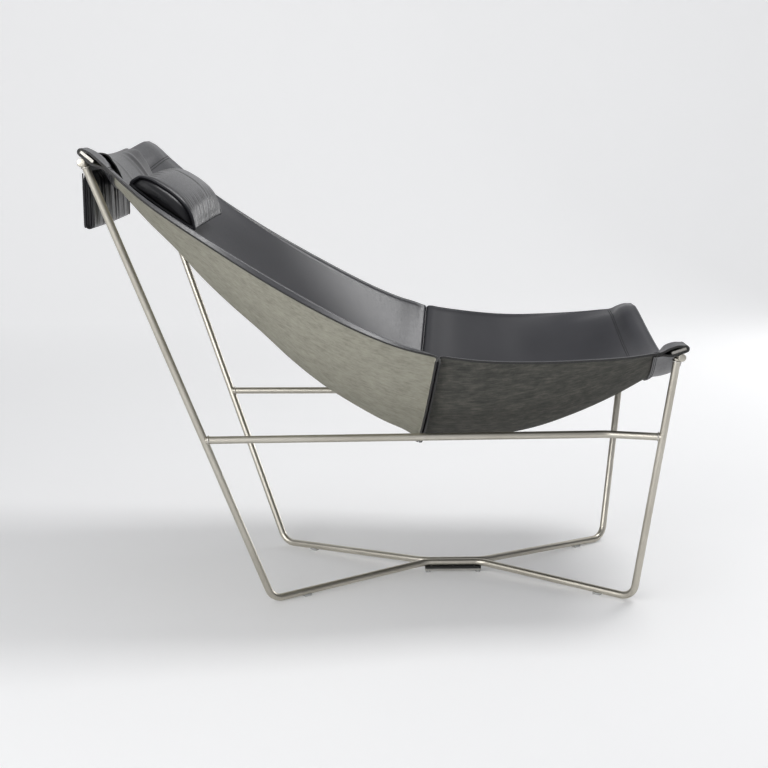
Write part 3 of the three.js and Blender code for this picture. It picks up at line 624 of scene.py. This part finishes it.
half_shares = [0.17, 0.33, 0.48, 0.61, 0.72, 0.8, straight_share, 0.93, 0.982, 1]
across_shares = [-share for share in reversed(half_shares)] + [0] + half_shares
flare_share = 0.35


def sling_grid(bar):
    columns = np.stack([sling_column(bar, across) for across in across_shares], axis=1)
    rim_start = len(columns) - len(bar["places"]) - 5
    left, right = [], []
    for j, row in enumerate(columns):
        spot = j - rim_start
        place = bar["places"][spot] if 0 <= spot < len(bar["places"]) else 0
        opening = math.sqrt(math.sin(math.pi * place))
        flare = least_flare + (bar["flare"] - least_flare) * opening
        drop = bar["drop"] * opening
        turned = np.array([flare * (1 - drop), 0, -flare * drop])
        over = turned * np.array([-1, 1, 1])
        left.append([row[0] + over, row[0] + over * flare_share])
        right.append([row[-1] + turned * flare_share, row[-1] + turned])
    grid = np.concatenate([np.array(left), columns, np.array(right)], axis=1)
    grid = finer(grid, finer_steps)
    return finer(grid.transpose(1, 0, 2), finer_steps).transpose(1, 0, 2)


# Smooth black top: a fine pebble grain with faint creases, waxed
black_top = new_finish(
    "black_leather_top", (7, 260), "Mottle",
    [(0.3, (0.017, 0.017, 0.021)), (0.75, (0.029, 0.029, 0.034))], [(0.25, 0.32), (0.8, 0.44)],
)
tree = black_top.node_tree
place = tree.nodes["Texture Coordinate"].outputs["Object"]
pebble = tree.nodes.new("ShaderNodeTexVoronoi")
pebble.inputs["Scale"].default_value = 950
pebble_bump = tree.nodes.new("ShaderNodeBump")
pebble_bump.inputs["Strength"].default_value = 0.12
pebble_bump.inputs["Distance"].default_value = 0.12 * mm
tree.links.new(place, pebble.inputs["Vector"])
tree.links.new(pebble.outputs["Distance"], pebble_bump.inputs["Height"])
tree.links.new(
    noise_bump(tree, place, 38, 0.18, 0.5 * mm, pebble_bump.outputs["Normal"]),
    tree.nodes["Principled BSDF"].inputs["Normal"],
)

# Thin glove leather of the cushion, strap and pouch: glossier, with fine creases
soft_leather = new_finish(
    "soft_black_leather", (12, 320), "Mottle",
    [(0.3, (0.013, 0.013, 0.015)), (0.75, (0.024, 0.024, 0.027))], [(0.25, 0.28), (0.8, 0.40)],
)
tree = soft_leather.node_tree
place = tree.nodes["Texture Coordinate"].outputs["Object"]
creases = tree.nodes.new("ShaderNodeMapping")
creases.inputs["Scale"].default_value = (1, 0.25, 0.25)
tree.links.new(place, creases.inputs["Vector"])
crease_bump = noise_bump(tree, creases.outputs["Vector"], 210, 0.35, 0.8 * mm)
tree.links.new(
    noise_bump(tree, place, 1100, 0.15, 0.1 * mm, crease_bump),
    tree.nodes["Principled BSDF"].inputs["Normal"],
)

# Suede nap shared by both undersides: brushed fibres that lie along the hide over a mottle,
# put out as one shade from 0 to 1 and as the nap's own bumps
nap = bpy.data.node_groups.new("brushed_nap", "ShaderNodeTree")
for socket, way, kind in (
    ("Place", "INPUT", "Vector"), ("Fibre Scale", "INPUT", "Float"), ("Cloud Scale", "INPUT", "Float"),
    ("Shade", "OUTPUT", "Float"), ("Normal", "OUTPUT", "Vector"),
):
    nap.interface.new_socket(name=socket, in_out=way, socket_type=f"NodeSocket{kind}")
nap_in = nap.nodes.new("NodeGroupInput")
nap_out = nap.nodes.new("NodeGroupOutput")
brushed = nap.nodes.new("ShaderNodeMapping")
brushed.inputs["Scale"].default_value = (1, 0.16, 0.55)
nap.links.new(nap_in.outputs["Place"], brushed.inputs["Vector"])
fibre = nap.nodes.new("ShaderNodeTexNoise")
fibre.inputs["Detail"].default_value = 8
fibre.inputs["Roughness"].default_value = 0.72
nap.links.new(brushed.outputs["Vector"], fibre.inputs["Vector"])
nap.links.new(nap_in.outputs["Fibre Scale"], fibre.inputs["Scale"])
cloud = nap.nodes.new("ShaderNodeTexNoise")
cloud.inputs["Detail"].default_value = 7
cloud.inputs["Roughness"].default_value = 0.68
nap.links.new(nap_in.outputs["Place"], cloud.inputs["Vector"])
nap.links.new(nap_in.outputs["Cloud Scale"], cloud.inputs["Scale"])
blend = nap.nodes.new("ShaderNodeMath")
blend.operation = "MULTIPLY_ADD"
blend.inputs[1].default_value = 0.6
half_cloud = nap.nodes.new("ShaderNodeMath")
half_cloud.operation = "MULTIPLY"
half_cloud.inputs[1].default_value = 0.4
nap.links.new(cloud.outputs["Fac"], half_cloud.inputs[0])
nap.links.new(fibre.outputs["Fac"], blend.inputs[0])
nap.links.new(half_cloud.outputs["Value"], blend.inputs[2])
nap.links.new(blend.outputs["Value"], nap_out.inputs["Shade"])
nap.links.new(noise_bump(nap, nap_in.outputs["Place"], 1300, 0.5, 0.3 * mm), nap_out.inputs["Normal"])


def napped_finish(name, fibre_scale, cloud_scale, shades):
    finish, tree, shader, place, group = grouped_finish(name, nap, (fibre_scale, cloud_scale))
    tree.links.new(ramp(tree, group.outputs["Shade"], shades), shader.inputs["Base Color"])
    tree.links.new(group.outputs["Normal"], shader.inputs["Normal"])
    shader.inputs["Roughness"].default_value = 0.95
    shader.inputs["Specular IOR Level"].default_value = 0.15
    return finish


# The back's underside is left grey green, the seat's is the same suede darkened as painted shade
# for the shadow under the seat, and the raw edges of the seam are paler where the knife went through
suede = napped_finish("suede_underside", 230, 42, [
    (0.36, (0.248, 0.24, 0.195)), (0.5, (0.335, 0.326, 0.27)), (0.64, (0.40, 0.387, 0.322)),
])
# A darker copy of the same suede for the seat's underside: painted shade for the shadow under the seat
suede_painted_shade = napped_finish("suede_underside_painted_shade", 250, 48, [
    (0.36, (0.054, 0.054, 0.050)), (0.5, (0.089, 0.088, 0.079)), (0.64, (0.148, 0.142, 0.122)),
])
raw_edge = napped_finish("raw_seam_edge", 260, 90, [
    (0.38, (0.12, 0.113, 0.09)), (0.62, (0.36, 0.34, 0.28)),
])

# Cut edge: dyed and rubbed dark
cut_edge = new_finish(
    "rubbed_leather_edge", (30, 500), "Speckle",
    [(0.3, (0.012, 0.012, 0.012)), (0.75, (0.035, 0.034, 0.032))], 0.55, bump=(1500, 0.4, 0.15 * mm),
)

# piece, node, bar, underside, width and length of the cut hide, and its area in square metres
for name, node, bar, underside, cut, cut_area in (
    ("back_hide", "back_panel", head_bar, suede, (823 * mm, 836 * mm), 0.589),
    ("seat_hide", "seat_panel", front_bar, suede_painted_shade, (823 * mm, 556 * mm), 0.364),
):
    grid = sling_grid(bar)
    if bar["side"] > 0:
        grid = grid[:, ::-1]
    hide = sheet_mesh(name, grid)
    for finish in (black_top, underside, cut_edge, raw_edge):
        hide.data.materials.append(finish)
    thicken(hide, leather_thickness, 0.5 * mm)
    flange_end = grid[-1]
    for face in hide.data.polygons:
        if underside is suede and face.material_index == 1:
            from_end = np.linalg.norm(flange_end - np.array(face.center), axis=1).min()
            if from_end < frayed_width + leather_thickness / 2:
                face.material_index = 3
    finish_piece(hide, name, None, "chair")
    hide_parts(node)
    bar_word = "head" if bar["side"] > 0 else "front"

# Neck strap
# A wide soft strap of thinner leather. It comes from under the neck cushion, lies over the
# head loop, and hangs plumb behind it into the counterweight pouch.
strap_half_width = 165 * mm
strap_thickness = 2.6 * mm
strap_spare = 0.8 * mm
strap_folds = ((96 * mm, 3.2 * mm), (62 * mm, 1.4 * mm), (-70 * mm, 1.5 * mm))
strap_fold_width = 10 * mm
strap_fold_slant = 0.5 * mm
strap_fold_share = 0.42
strap_curl = 6 * mm
strap_curl_width = 45 * mm
strap_curl_start = 0.2
strap_curl_end = 0.43
cushion_back = (chair_middle + 534.8 * mm, 719 * mm)
cushion_lean = math.radians(36)
cushion_length = 122 * mm
cushion_end_height = 32 * mm
cushion_crown = 15 * mm
cushion_belly = 9 * mm
pouch_top = 744 * mm
strap_in_pouch = 52 * mm
strap_half_layer = 1.5 * mm
strap_under_cushion = (60 * mm, 30 * mm, 0)
strap_steps_along = 6
strap_steps_across = 12
cushion_lowest_share = 0.08
strap_over = loop_height + leather_thickness / 2 + cut_clearance + strap_half_layer + strap_spare
strap_back_reach = bar_point(head_bar, 0, -bar_width / 2, 0)[1] + strap_over
down_slope = np.array([0, -math.cos(cushion_lean), -math.sin(cushion_lean)])
off_slope = np.array([0, -math.sin(cushion_lean), math.cos(cushion_lean)])
cushion_origin = np.array([0, cushion_back[0], cushion_back[1]])


def strap_column(share):
    x = share * strap_half_width
    across = x / head_bar["half_width"]
    deepest = cushion_belly + cushion_lowest_share * (cushion_end_height + cushion_crown)
    under = deepest + cut_clearance + strap_thickness / 2
    half = bar_width / 2
    middle = bar_point(head_bar, across, -half, 0)
    up = bar_point(head_bar, across, -half, 1) - middle
    quarter = math.pi / 2 + math.radians(head_bar["tilt"])
    column = [
        cushion_origin + [x, 0, 0] + down_slope * along - off_slope * under
        for along in strap_under_cushion
    ]
    column.append(bar_point(head_bar, across, half, strap_over + head_bar["puff"]))
    column.append(bar_point(head_bar, across, 0, strap_over + head_bar["puff"]))
    for turn in np.linspace(0, 1, 5):
        spun = Matrix.Rotation(-quarter * turn, 3, "X") @ Vector(up)
        column.append(middle + np.array(spun) * strap_over)
    for height in ((column[-1][2] + pouch_top) / 2, pouch_top, pouch_top - strap_in_pouch):
        column.append(np.array([x, strap_back_reach, height]))
    return np.array(column)


strap_grid = np.stack([strap_column(share) for share in np.linspace(-1, 1, 9)], axis=1)
strap_grid = finer(strap_grid, strap_steps_along)
strap_grid = finer(strap_grid.transpose(1, 0, 2), strap_steps_across).transpose(1, 0, 2)
for j, row in enumerate(strap_grid):
    lie = math.sin(math.pi * min(j / (len(strap_grid) * strap_fold_share), 1))
    past_cushion = (j / len(strap_grid) - strap_curl_start) / (strap_curl_end - strap_curl_start)
    curl = math.sin(math.pi * min(max(past_cushion, 0), 1))
    for point in row:
        from_edge = (strap_half_width - abs(point[0])) / strap_curl_width
        point += off_slope * strap_curl * curl * math.exp(-from_edge * from_edge)
        for fold_place, fold_height in strap_folds:
            off_fold = (point[0] - fold_place - strap_fold_slant * j) / strap_fold_width
            point += off_slope * fold_height * lie * math.exp(-off_fold * off_fold)
strap = sheet_mesh("wide_neck_strap", strap_grid)
for finish in (soft_leather, soft_leather, cut_edge):
    strap.data.materials.append(finish)
thicken(strap, strap_thickness, 0.4 * mm)
finish_piece(strap, "wide_neck_strap", None, "chair")
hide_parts("neck_strap")

# Neck cushion
# A leather cover with D-shaped ends, piped round them and double stitched down its middle,
# stuffed tight over a foam core. The top is gathered into the front and back seams.
cushion_half_width = 205 * mm
section_shares = [
    (0, 0.06), (0.02, 0.42), (0.1, 0.8), (0.22, 0.94), (0.36, 0.99), (0.5, 1), (0.64, 0.95),
    (0.77, 0.82), (0.88, 0.58), (0.96, 0.3), (1, 0.06), (0.97, -0.02), (0.8, -0.06),
    (0.5, -0.08), (0.2, -0.06), (0.03, -0.02),
]
cushion_station_count = 281
gather_depth = 2.1 * mm
gathers_across = (31, 47, 59)
end_draw = 9 * mm
end_draw_reach = 30 * mm
seam_groove_depth = 1.6 * mm
seam_groove_half_gap = 5.5 * mm
seam_groove_width = 1.6 * mm
end_dip = 2.2 * mm
end_dip_reach = 5 * mm
end_bulge = 9 * mm
# share of the end's size left at each ring towards its middle, and share of the bulge there
cushion_end_shares = ((0.95, -0.3), (0.86, 0.15), (0.7, 0.6), (0.48, 0.88), (0.22, 1))
piping_radius = 3 * mm
piping_facets = 10
swell_power = 0.6
gather_fade = 22 * mm
back_gather_share = 0.8
front_gather_from, front_gather_to = 0.5, 0.97
back_gather_from, back_gather_to = 0.25, 0.02
section_steps = 6
section = np.array([(a, b, 0) for a, b in section_shares + section_shares[:1]])
section = finer(section, section_steps)[:-1, :2]


def smooth_step(low, high, value):
    t = min(max((value - low) / (high - low), 0), 1)
    return t * t * (3 - 2 * t)


def gather_pattern(share, drift):
    """Sharp valleys and round ridges across the cushion, from -1 to 0."""
    total = 0
    for k, count in enumerate(gathers_across):
        phase = 1.7 * k + drift * (0.5 + 0.3 * k) + 1.3 * math.sin(5 * share + 2 * k)
        total -= math.cos(math.pi * count * share / 2 + phase) ** 4
    return total / len(gathers_across)


def cushion_point(share, along_share, rise_share, outward):
    swell = math.cos(min(abs(share), 1) * math.pi / 2) ** swell_power
    height = cushion_end_height + cushion_crown * swell
    belly = cushion_belly * swell * math.sin(math.pi * along_share) if rise_share < 0 else 0
    from_end = (1 - abs(share)) * cushion_half_width
    dent = end_dip * math.exp(-((from_end / end_dip_reach) ** 2))
    if rise_share > 0:
        front = smooth_step(front_gather_from, front_gather_to, along_share)
        back = back_gather_share * smooth_step(back_gather_from, back_gather_to, along_share)
        fade = smooth_step(0, gather_fade, from_end)
        dent -= gather_depth * (front + back) * fade * gather_pattern(share, 1.5 * along_share)
        for line in (-seam_groove_half_gap, seam_groove_half_gap):
            distance = (share * cushion_half_width - line) / seam_groove_width
            dent += seam_groove_depth * math.exp(-distance * distance)
    near_end = smooth_step(end_draw_reach, 0, from_end)
    along = along_share * cushion_length - outward[0] * dent
    along -= end_draw * (1 - along_share) * near_end
    rise = rise_share * height - belly - outward[1] * dent
    point = cushion_origin + down_slope * along + off_slope * rise
    point[0] += share * cushion_half_width
    return point


section_next = np.roll(section, -1, axis=0)
section_last = np.roll(section, 1, axis=0)
tangents = (section_next - section_last) * np.array([cushion_length, cushion_end_height])
outwards = np.stack([-tangents[:, 1], tangents[:, 0]], axis=1)
outwards = outwards / np.linalg.norm(outwards, axis=1)[:, None]
if (outwards[:, 1] * section[:, 1]).sum() < 0:
    outwards = -outwards


def cushion_ring(share):
    return np.array([
        cushion_point(share, along_share, rise_share, outward)
        for (along_share, rise_share), outward in zip(section, outwards)
    ])


def closed_loft(name, rings):
    count = len(rings[0])
    faces = [
        (r * count + k, r * count + (k + 1) % count, (r + 1) * count + (k + 1) % count, (r + 1) * count + k)
        for r in range(len(rings) - 1) for k in range(count)
    ]
    faces.append(tuple(range(count)))
    faces.append(tuple((len(rings) - 1) * count + k for k in range(count)))
    piece = new_piece(name, np.concatenate(rings).tolist(), faces)
    face_outward()
    bpy.ops.object.shade_smooth_by_angle(angle=math.radians(50))
    return piece


def round_tube(name, points, radius, facets, closed):
    """A tube round a run of points, with a ring square to the run at each."""
    count = len(points)
    rings = []
    for k in range(count):
        after = points[(k + 1) % count] if closed or k < count - 1 else points[k]
        before = points[k - 1] if closed or k > 0 else points[k]
        run = Vector(after - before).normalized()
        aside = run.cross(Vector((0.31, 0.22, 0.92))).normalized()
        over = run.cross(aside)
        rings.append([
            Vector(points[k]) + (aside * math.cos(a) + over * math.sin(a)) * radius
            for a in np.linspace(0, 2 * math.pi, facets, endpoint=False)
        ])
    faces = []
    for r in range(count if closed else count - 1):
        for k in range(facets):
            s, t = r * facets, ((r + 1) % count) * facets
            faces.append((s + k, s + (k + 1) % facets, t + (k + 1) % facets, t + k))
    if not closed:
        faces.append(tuple(range(facets)))
        faces.append(tuple((count - 1) * facets + k for k in range(facets)))
    piece = new_piece(name, [tuple(v) for ring in rings for v in ring], faces)
    face_outward()
    bpy.ops.object.shade_smooth()
    return piece


cushion_rings = [cushion_ring(share) for share in np.linspace(-1, 1, cushion_station_count)]
for end_side, word in ((-1, "left"), (1, "right")):
    edge_ring = cushion_rings[0] if end_side < 0 else cushion_rings[-1]
    heart = edge_ring.mean(axis=0)
    inner = []
    for size_share, out_share in cushion_end_shares:
        ring = heart + (edge_ring - heart) * size_share
        ring[:, 0] += end_side * end_bulge * out_share
        inner.append(ring)
    cushion_rings = inner[::-1] + cushion_rings if end_side < 0 else cushion_rings + inner
    piping = round_tube(f"cushion_piping_{word}", edge_ring, piping_radius, piping_facets, True)
    finish_piece(piping, piping.name, black_top, "cushion")

cushion = closed_loft("neck_cushion", cushion_rings)
finish_piece(cushion, "neck_cushion", soft_leather, "cushion")
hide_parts("neck_cushion_cover")

# Stitches
# Waxed black thread: a lock stitch every few millimetres along each seam, half sunk in the
# leather, with two rows where each hide is sewn to its tail and along the cushion's middle.
thread_radius = 0.7 * mm
stitch_pitch = 4.6 * mm
stitch_length = 3.6 * mm
thread_finish = new_finish(
    "waxed_thread", (60, 1500), "Speckle", [(0.3, (0.006, 0.006, 0.006)), (0.7, (0.02, 0.02, 0.02))], 0.6,
)
bpy.ops.mesh.primitive_uv_sphere_add(segments=8, ring_count=6, radius=1)
stitch_shape = bpy.context.object
stitch_points = np.array([vertex.co for vertex in stitch_shape.data.vertices])
stitch_faces = [tuple(face.vertices) for face in stitch_shape.data.polygons]
bpy.data.objects.remove(stitch_shape)
stitch_points = stitch_points * np.array([thread_radius, thread_radius, stitch_length / 2])


def sew(name, rows, body):
    """One piece of thread: each row is a run of points and the way that the leather faces there."""
    points, faces = [], []
    for run, facing in rows:
        steps = np.linalg.norm(np.diff(run, axis=0), axis=1)
        reach = np.concatenate([[0], np.cumsum(steps)])
        for spot in np.arange(stitch_pitch, reach[-1] - stitch_pitch, stitch_pitch):
            centre = np.array([np.interp(spot, reach, run[:, k]) for k in range(3)])
            ahead = np.array([np.interp(spot + mm, reach, run[:, k]) for k in range(3)])
            up = np.array([np.interp(spot, reach, facing[:, k]) for k in range(3)])
            along = (ahead - centre) / np.linalg.norm(ahead - centre)
            aside = np.cross(up, along)
            aside = aside / np.linalg.norm(aside)
            turned = stitch_points @ np.stack([aside, np.cross(along, aside), along])
            first = sum(len(block) for block in points)
            points.append(turned + centre)
            faces += [tuple(first + v for v in face) for face in stitch_faces]
    thread = new_piece(name, np.concatenate(points).tolist(), faces)
    bpy.ops.object.shade_smooth()
    finish_piece(thread, name, thread_finish, body)


crown_rows = []
top_side = section[:, 1] > 0.02
for line in (-seam_groove_half_gap, seam_groove_half_gap):
    ring = cushion_ring(line / cushion_half_width)[top_side]
    lift = outwards[top_side]
    facing = np.array([down_slope * a + off_slope * b for a, b in lift])
    crown_rows.append((ring, facing))
sew("cushion_middle_thread", crown_rows, "cushion")

sewn_end_share = 0.985
sewn_station_count = 150
sewn_shares = np.linspace(-sewn_end_share, sewn_end_share, sewn_station_count)
surface_lift = leather_thickness / 2
row_from_tail_end = (2.6 * mm, 6.2 * mm)
for bar_word, bar in (("head", head_bar), ("front", front_bar)):
    run = abs(bar["reach"] - seam_reach)
    rows = []
    for distance in row_from_tail_end:
        place = 1 - (tail_run - distance) / run
        points = np.array([sling_point(bar, place, a) for a in sewn_shares])
        normals = np.array([sling_normal(bar, place, a) for a in sewn_shares])
        rows.append((points + normals * surface_lift, normals))
        rows.append((points - normals * (layer_gap + surface_lift), -normals))
    sew(f"{bar_word}_loop_thread", rows, "chair")

seam_stitch_from_edge = 5 * mm
rows = []
for aside in (-seam_aside, seam_aside):
    points = [
        sling_point(head_bar, 0, a) + seam_outward(a) * (seam_flange - seam_stitch_from_edge)
        + aside * (layer_gap / 2 + surface_lift)
        for a in sewn_shares
    ]
    rows.append((np.array(points), np.tile(aside, (len(points), 1))))
sew("middle_seam_thread", rows, "chair")

# Counterweight pouch
# A soft bag of the same thin leather, gathered into its top, that hangs from the strap behind
# the head bar with a steel bar sewn in. Its ends are boxed and welted.
pouch_low, pouch_high = (Vector(corner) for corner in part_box("counterweight_pouch"))
pouch_fold_depth = 2.2 * mm
pouch_folds_across = (23, 34, 51)
pouch_fold_rest = 0.6
pouch_sag = 1.25 * mm
pouch_end_lift = 0.75 * mm
pouch_mouth = 6 * mm
pouch_shoulder_drop = 14 * mm
# share of the pouch's thickness left at each fold of its end, and how far the fold stands out
pouch_end_folds = (
    (0.9, 1.4 * mm), (0.74, 2.2 * mm), (0.6, 1.6 * mm), (0.54, -1.5 * mm), (0.46, 1.4 * mm),
    (0.3, 2.3 * mm), (0.16, 1.7 * mm), (0.1, -1.5 * mm), (0.03, 0.6 * mm),
)
pouch_end_round = 0.08
pouch_middle_height = (pouch_low.z + pouch_high.z) / 2
pouch_neck_drop = 20 * mm
pouch_neck_inset = 4.5 * mm
pouch_neck_draw = 0.75
pouch_neck_start_share = strap_half_width / pouch_high.x + 0.01
pouch_neck_end_share = 0.97
pouch_station_count = 241
pouch_low_fold_share = 0.35
pouch_fold_end_share = 0.93
pouch_rim = 2 * mm
pouch_welt_radius = 1.3 * mm
pouch_welt_facets = 8
pouch_welt_side_share = 0.6
pouch_outline = [(pouch_low.y, pouch_high.z - pouch_shoulder_drop)]
pouch_half = (pouch_high.y - pouch_low.y) / 2
pouch_middle = (pouch_high.y + pouch_low.y) / 2
for height in np.linspace(pouch_high.z - 2 * pouch_shoulder_drop, pouch_low.z + 2 * pouch_half, 9):
    pouch_outline.append((pouch_low.y, height))
for angle in np.linspace(math.pi, 2 * math.pi, 11):
    pouch_outline.append((
        pouch_middle + pouch_half * math.cos(angle),
        pouch_low.z + pouch_half * (1 + math.sin(angle)),
    ))
for height in np.linspace(pouch_low.z + 2 * pouch_half, pouch_high.z - pouch_rim, 12):
    pouch_outline.append((pouch_high.y, height))
pouch_outline.append((pouch_high.y - pouch_rim / 2, pouch_high.z))
pouch_outline.append((pouch_high.y - pouch_mouth, pouch_high.z))
pouch_outline = np.array(pouch_outline)


def fold_pattern(share, drift):
    total = 0
    for k, count in enumerate(pouch_folds_across):
        total += math.sin(math.pi * count * share / 2 + 2.1 * k + drift * (k + 1)) / (1 + 0.5 * k)
    return total / 2


pouch_rings = []
for share in np.linspace(-1, 1, pouch_station_count):
    ring = []
    for y, z in pouch_outline:
        height_share = (z - pouch_low.z) / (pouch_high.z - pouch_low.z)
        face = (y - pouch_middle) / pouch_half
        strength = pouch_low_fold_share + (1 - pouch_low_fold_share) * height_share
        strength *= smooth_step(1, pouch_fold_end_share, abs(share))
        folds = fold_pattern(share, 1.2 * height_share + face) - pouch_fold_rest
        depth = pouch_fold_depth * strength * folds
        sag = (1 - height_share) * (pouch_sag * math.cos(math.pi * share / 2) - pouch_end_lift)
        neck = pouch_neck_draw * smooth_step(pouch_high.z - pouch_neck_drop, pouch_high.z, z)
        neck *= smooth_step(pouch_neck_start_share, pouch_neck_end_share, abs(share))
        y += (pouch_high.y - pouch_neck_inset - y) * neck
        ring.append((share * pouch_high.x, y + depth * face, z - sag))
    pouch_rings.append(np.array(ring))
for end_side in (-1, 1):
    folds = []
    flat_end = pouch_rings[0] if end_side < 0 else pouch_rings[-1]
    for width_share, out in pouch_end_folds:
        ring = flat_end.copy()
        ring[:, 1] = pouch_middle + (ring[:, 1] - pouch_middle) * width_share
        ring[:, 2] += (pouch_middle_height - ring[:, 2]) * (1 - width_share) * pouch_end_round
        ring[:, 0] += end_side * out
        folds.append(ring)
    pouch_rings = folds[::-1] + pouch_rings if end_side < 0 else pouch_rings + folds
pouch = closed_loft("weight_pouch", pouch_rings)
finish_piece(pouch, "weight_pouch", soft_leather, "weight")
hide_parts("counterweight_pouch")
for end_side, word in ((-1, "left"), (1, "right")):
    for face, face_word in ((-1, "front"), (1, "back")):
        edge = [
            np.array([end_side * pouch_high.x, y, z]) for y, z in pouch_outline
            if (y - pouch_middle) * face > pouch_welt_side_share * pouch_half
            and z < pouch_high.z - pouch_rim / 2
        ]
        edge.sort(key=lambda point: point[2])
        welt_name = f"pouch_welt_{face_word}_{word}"
        welt = round_tube(welt_name, np.array(edge), pouch_welt_radius, pouch_welt_facets, False)
        finish_piece(welt, welt.name, soft_leather, "weight")

# Welds and screws
# Bright beads where each rail meets a leg and where each leg meets its stub, and round-headed
# screws with a round socket under the stubs and the plate.
bead_radius = 1.5 * mm
bead_stand_out = 0.3 * mm
rail_bead_gap = 0.6 * mm
stub_bead_drop = 4.5 * mm
weld = new_finish(
    "bright_weld", (60, 700), "Mottle", [(0.3, (0.55, 0.52, 0.47)), (0.7, (0.70, 0.68, 0.64))],
    0.32, metallic=1, bump=(500, 0.6, 0.4 * mm),
)


def weld_bead(name, centre, along):
    bpy.ops.mesh.primitive_torus_add(
        major_radius=rod_radius + bead_stand_out,
        minor_radius=bead_radius,
        major_segments=40,
        minor_segments=12,
        location=centre,
        rotation=Vector(along).to_track_quat("Z", "Y").to_euler(),
    )
    bead = bpy.context.object
    bpy.ops.object.transform_apply(location=True, rotation=True, scale=True)
    bpy.ops.object.shade_smooth()
    finish_piece(bead, name, weld, "chair")


for word, side in (("left", -1), ("right", 1)):
    rear_end, front_end = (turned_over(end, side) for end in rail_ends)
    kink = turned_over(rail_kink, side)
    for spot, end in (("rear", rear_end), ("front", front_end)):
        toward = (kink - end).normalized()
        weld_bead(f"rail_weld_{spot}_{word}", end + toward * (rod_radius + rail_bead_gap), toward)
    for spot, top, foot in (("head", head_leg_top, rear_foot), ("front", front_leg_top, front_foot)):
        start = turned_over(top, side)
        toward = (turned_over(foot, side) - start).normalized()
        weld_bead(f"stub_weld_{spot}_{word}", start + toward * stub_bead_drop, toward)

screw_head_radius = 3.5 * mm
screw_head_height = 2.4 * mm
socket_radius = 1.9 * mm
socket_depth = 1.4 * mm
screw_face_radius = 0.72 * screw_head_radius
screw_round_radius = 0.92 * screw_head_radius
screw_round_height = 0.35 * mm
screw_side_height = 0.9 * mm
screw_shank_radius = 2 * mm
screw_facets = 24
for node in [node for node in frame["nodes"] if "_screw_" in node]:
    low, high = (Vector(corner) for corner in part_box(node))
    if node.startswith("base"):
        axis = Vector((0, 0, 1))
        start = Vector(((low.x + high.x) / 2, (low.y + high.y) / 2, low.z))
        reach = high.z - low.z
    else:
        bar = head_bar if node.startswith("head") else front_bar
        axis = Vector(bar_point(bar, 1, 0, 1) - bar_point(bar, 1, 0, 0)).normalized()
        reach = (high.z - low.z - screw_head_radius * math.sqrt(1 - axis.z**2)) / axis.z
        start = (low + high) / 2 - axis * reach / 2
    bpy.ops.mesh.primitive_circle_add(vertices=screw_facets, radius=screw_face_radius, fill_type="NGON")
    screw = bpy.context.object
    bpy.ops.object.mode_set(mode="EDIT")
    bpy.ops.mesh.select_all(action="SELECT")
    bpy.ops.mesh.inset(thickness=screw_face_radius - socket_radius)
    bpy.ops.mesh.extrude_region_move(TRANSFORM_OT_translate={"value": (0, 0, socket_depth)})
    bpy.ops.mesh.select_all(action="DESELECT")
    bpy.ops.object.mode_set(mode="OBJECT")
    for edge in screw.data.edges:
        ends = [screw.data.vertices[v].co for v in edge.vertices]
        edge.select = all(co.xy.length > (screw_face_radius + socket_radius) / 2 for co in ends)
    bpy.ops.object.mode_set(mode="EDIT")
    bpy.ops.mesh.select_mode(type="EDGE")
    for radius, height in (
        (screw_round_radius, screw_round_height), (screw_head_radius, screw_side_height),
        (screw_head_radius, screw_head_height), (screw_shank_radius, screw_head_height),
        (screw_shank_radius, reach),
    ):
        bpy.ops.mesh.extrude_region_move(TRANSFORM_OT_translate={"value": (0, 0, 0)})
        bpy.ops.object.mode_set(mode="OBJECT")
        for vertex in screw.data.vertices:
            if vertex.select:
                flat = vertex.co.xy.normalized() * radius
                vertex.co = (flat.x, flat.y, height)
        bpy.ops.object.mode_set(mode="EDIT")
    bpy.ops.mesh.edge_face_add()
    face_outward()
    screw.rotation_euler = axis.to_track_quat("Z", "Y").to_euler()
    screw.location = start
    bpy.ops.object.transform_apply(location=True, rotation=True, scale=True)
    bpy.ops.object.shade_smooth_by_angle(angle=math.radians(35))
    finish_piece(screw, f"socket_{node}", weld, "chair")
    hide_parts(node)

# Pieces carried over
# The pieces that aren't built above keep their shape from CAD, and each takes the finish of
# its material: satin steel, black rubber, clear plastic or cream foam.
satin_steel = new_finish(
    "satin_steel", (25, 600), "Mottle", [(0.3, (0.42, 0.405, 0.37)), (0.7, (0.54, 0.525, 0.49))],
    [(0.3, 0.34), (0.7, 0.46)], metallic=1, bump=(700, 0.25, 0.1 * mm),
)
rubber = new_finish(
    "black_rubber_pad", (40, 900), "Speckle",
    [(0.3, (0.012, 0.012, 0.012)), (0.75, (0.028, 0.028, 0.028))], 0.8,
)
clear = new_finish(
    "clear_glide", (40, 900), "Mottle", [(0.3, (0.62, 0.63, 0.61)), (0.7, (0.72, 0.73, 0.71))], 0.25,
)
clear.node_tree.nodes["Principled BSDF"].inputs["Transmission Weight"].default_value = 0.6
foam = new_finish(
    "cream_foam", (40, 1200), "Speckle", [(0.3, (0.55, 0.50, 0.38)), (0.7, (0.72, 0.68, 0.55))], 0.95,
)
finishes = {"plain_steel": satin_steel, "black_rubber": rubber, "clear_plastic": clear, "foam": foam}
for subpart in frame["record"]["subparts"]:
    carried = frame["nodes"][subpart["node"]]
    if subpart["material_slot"] in finishes:
        carried.data.materials.clear()
        carried.data.materials.append(finishes[subpart["material_slot"]])
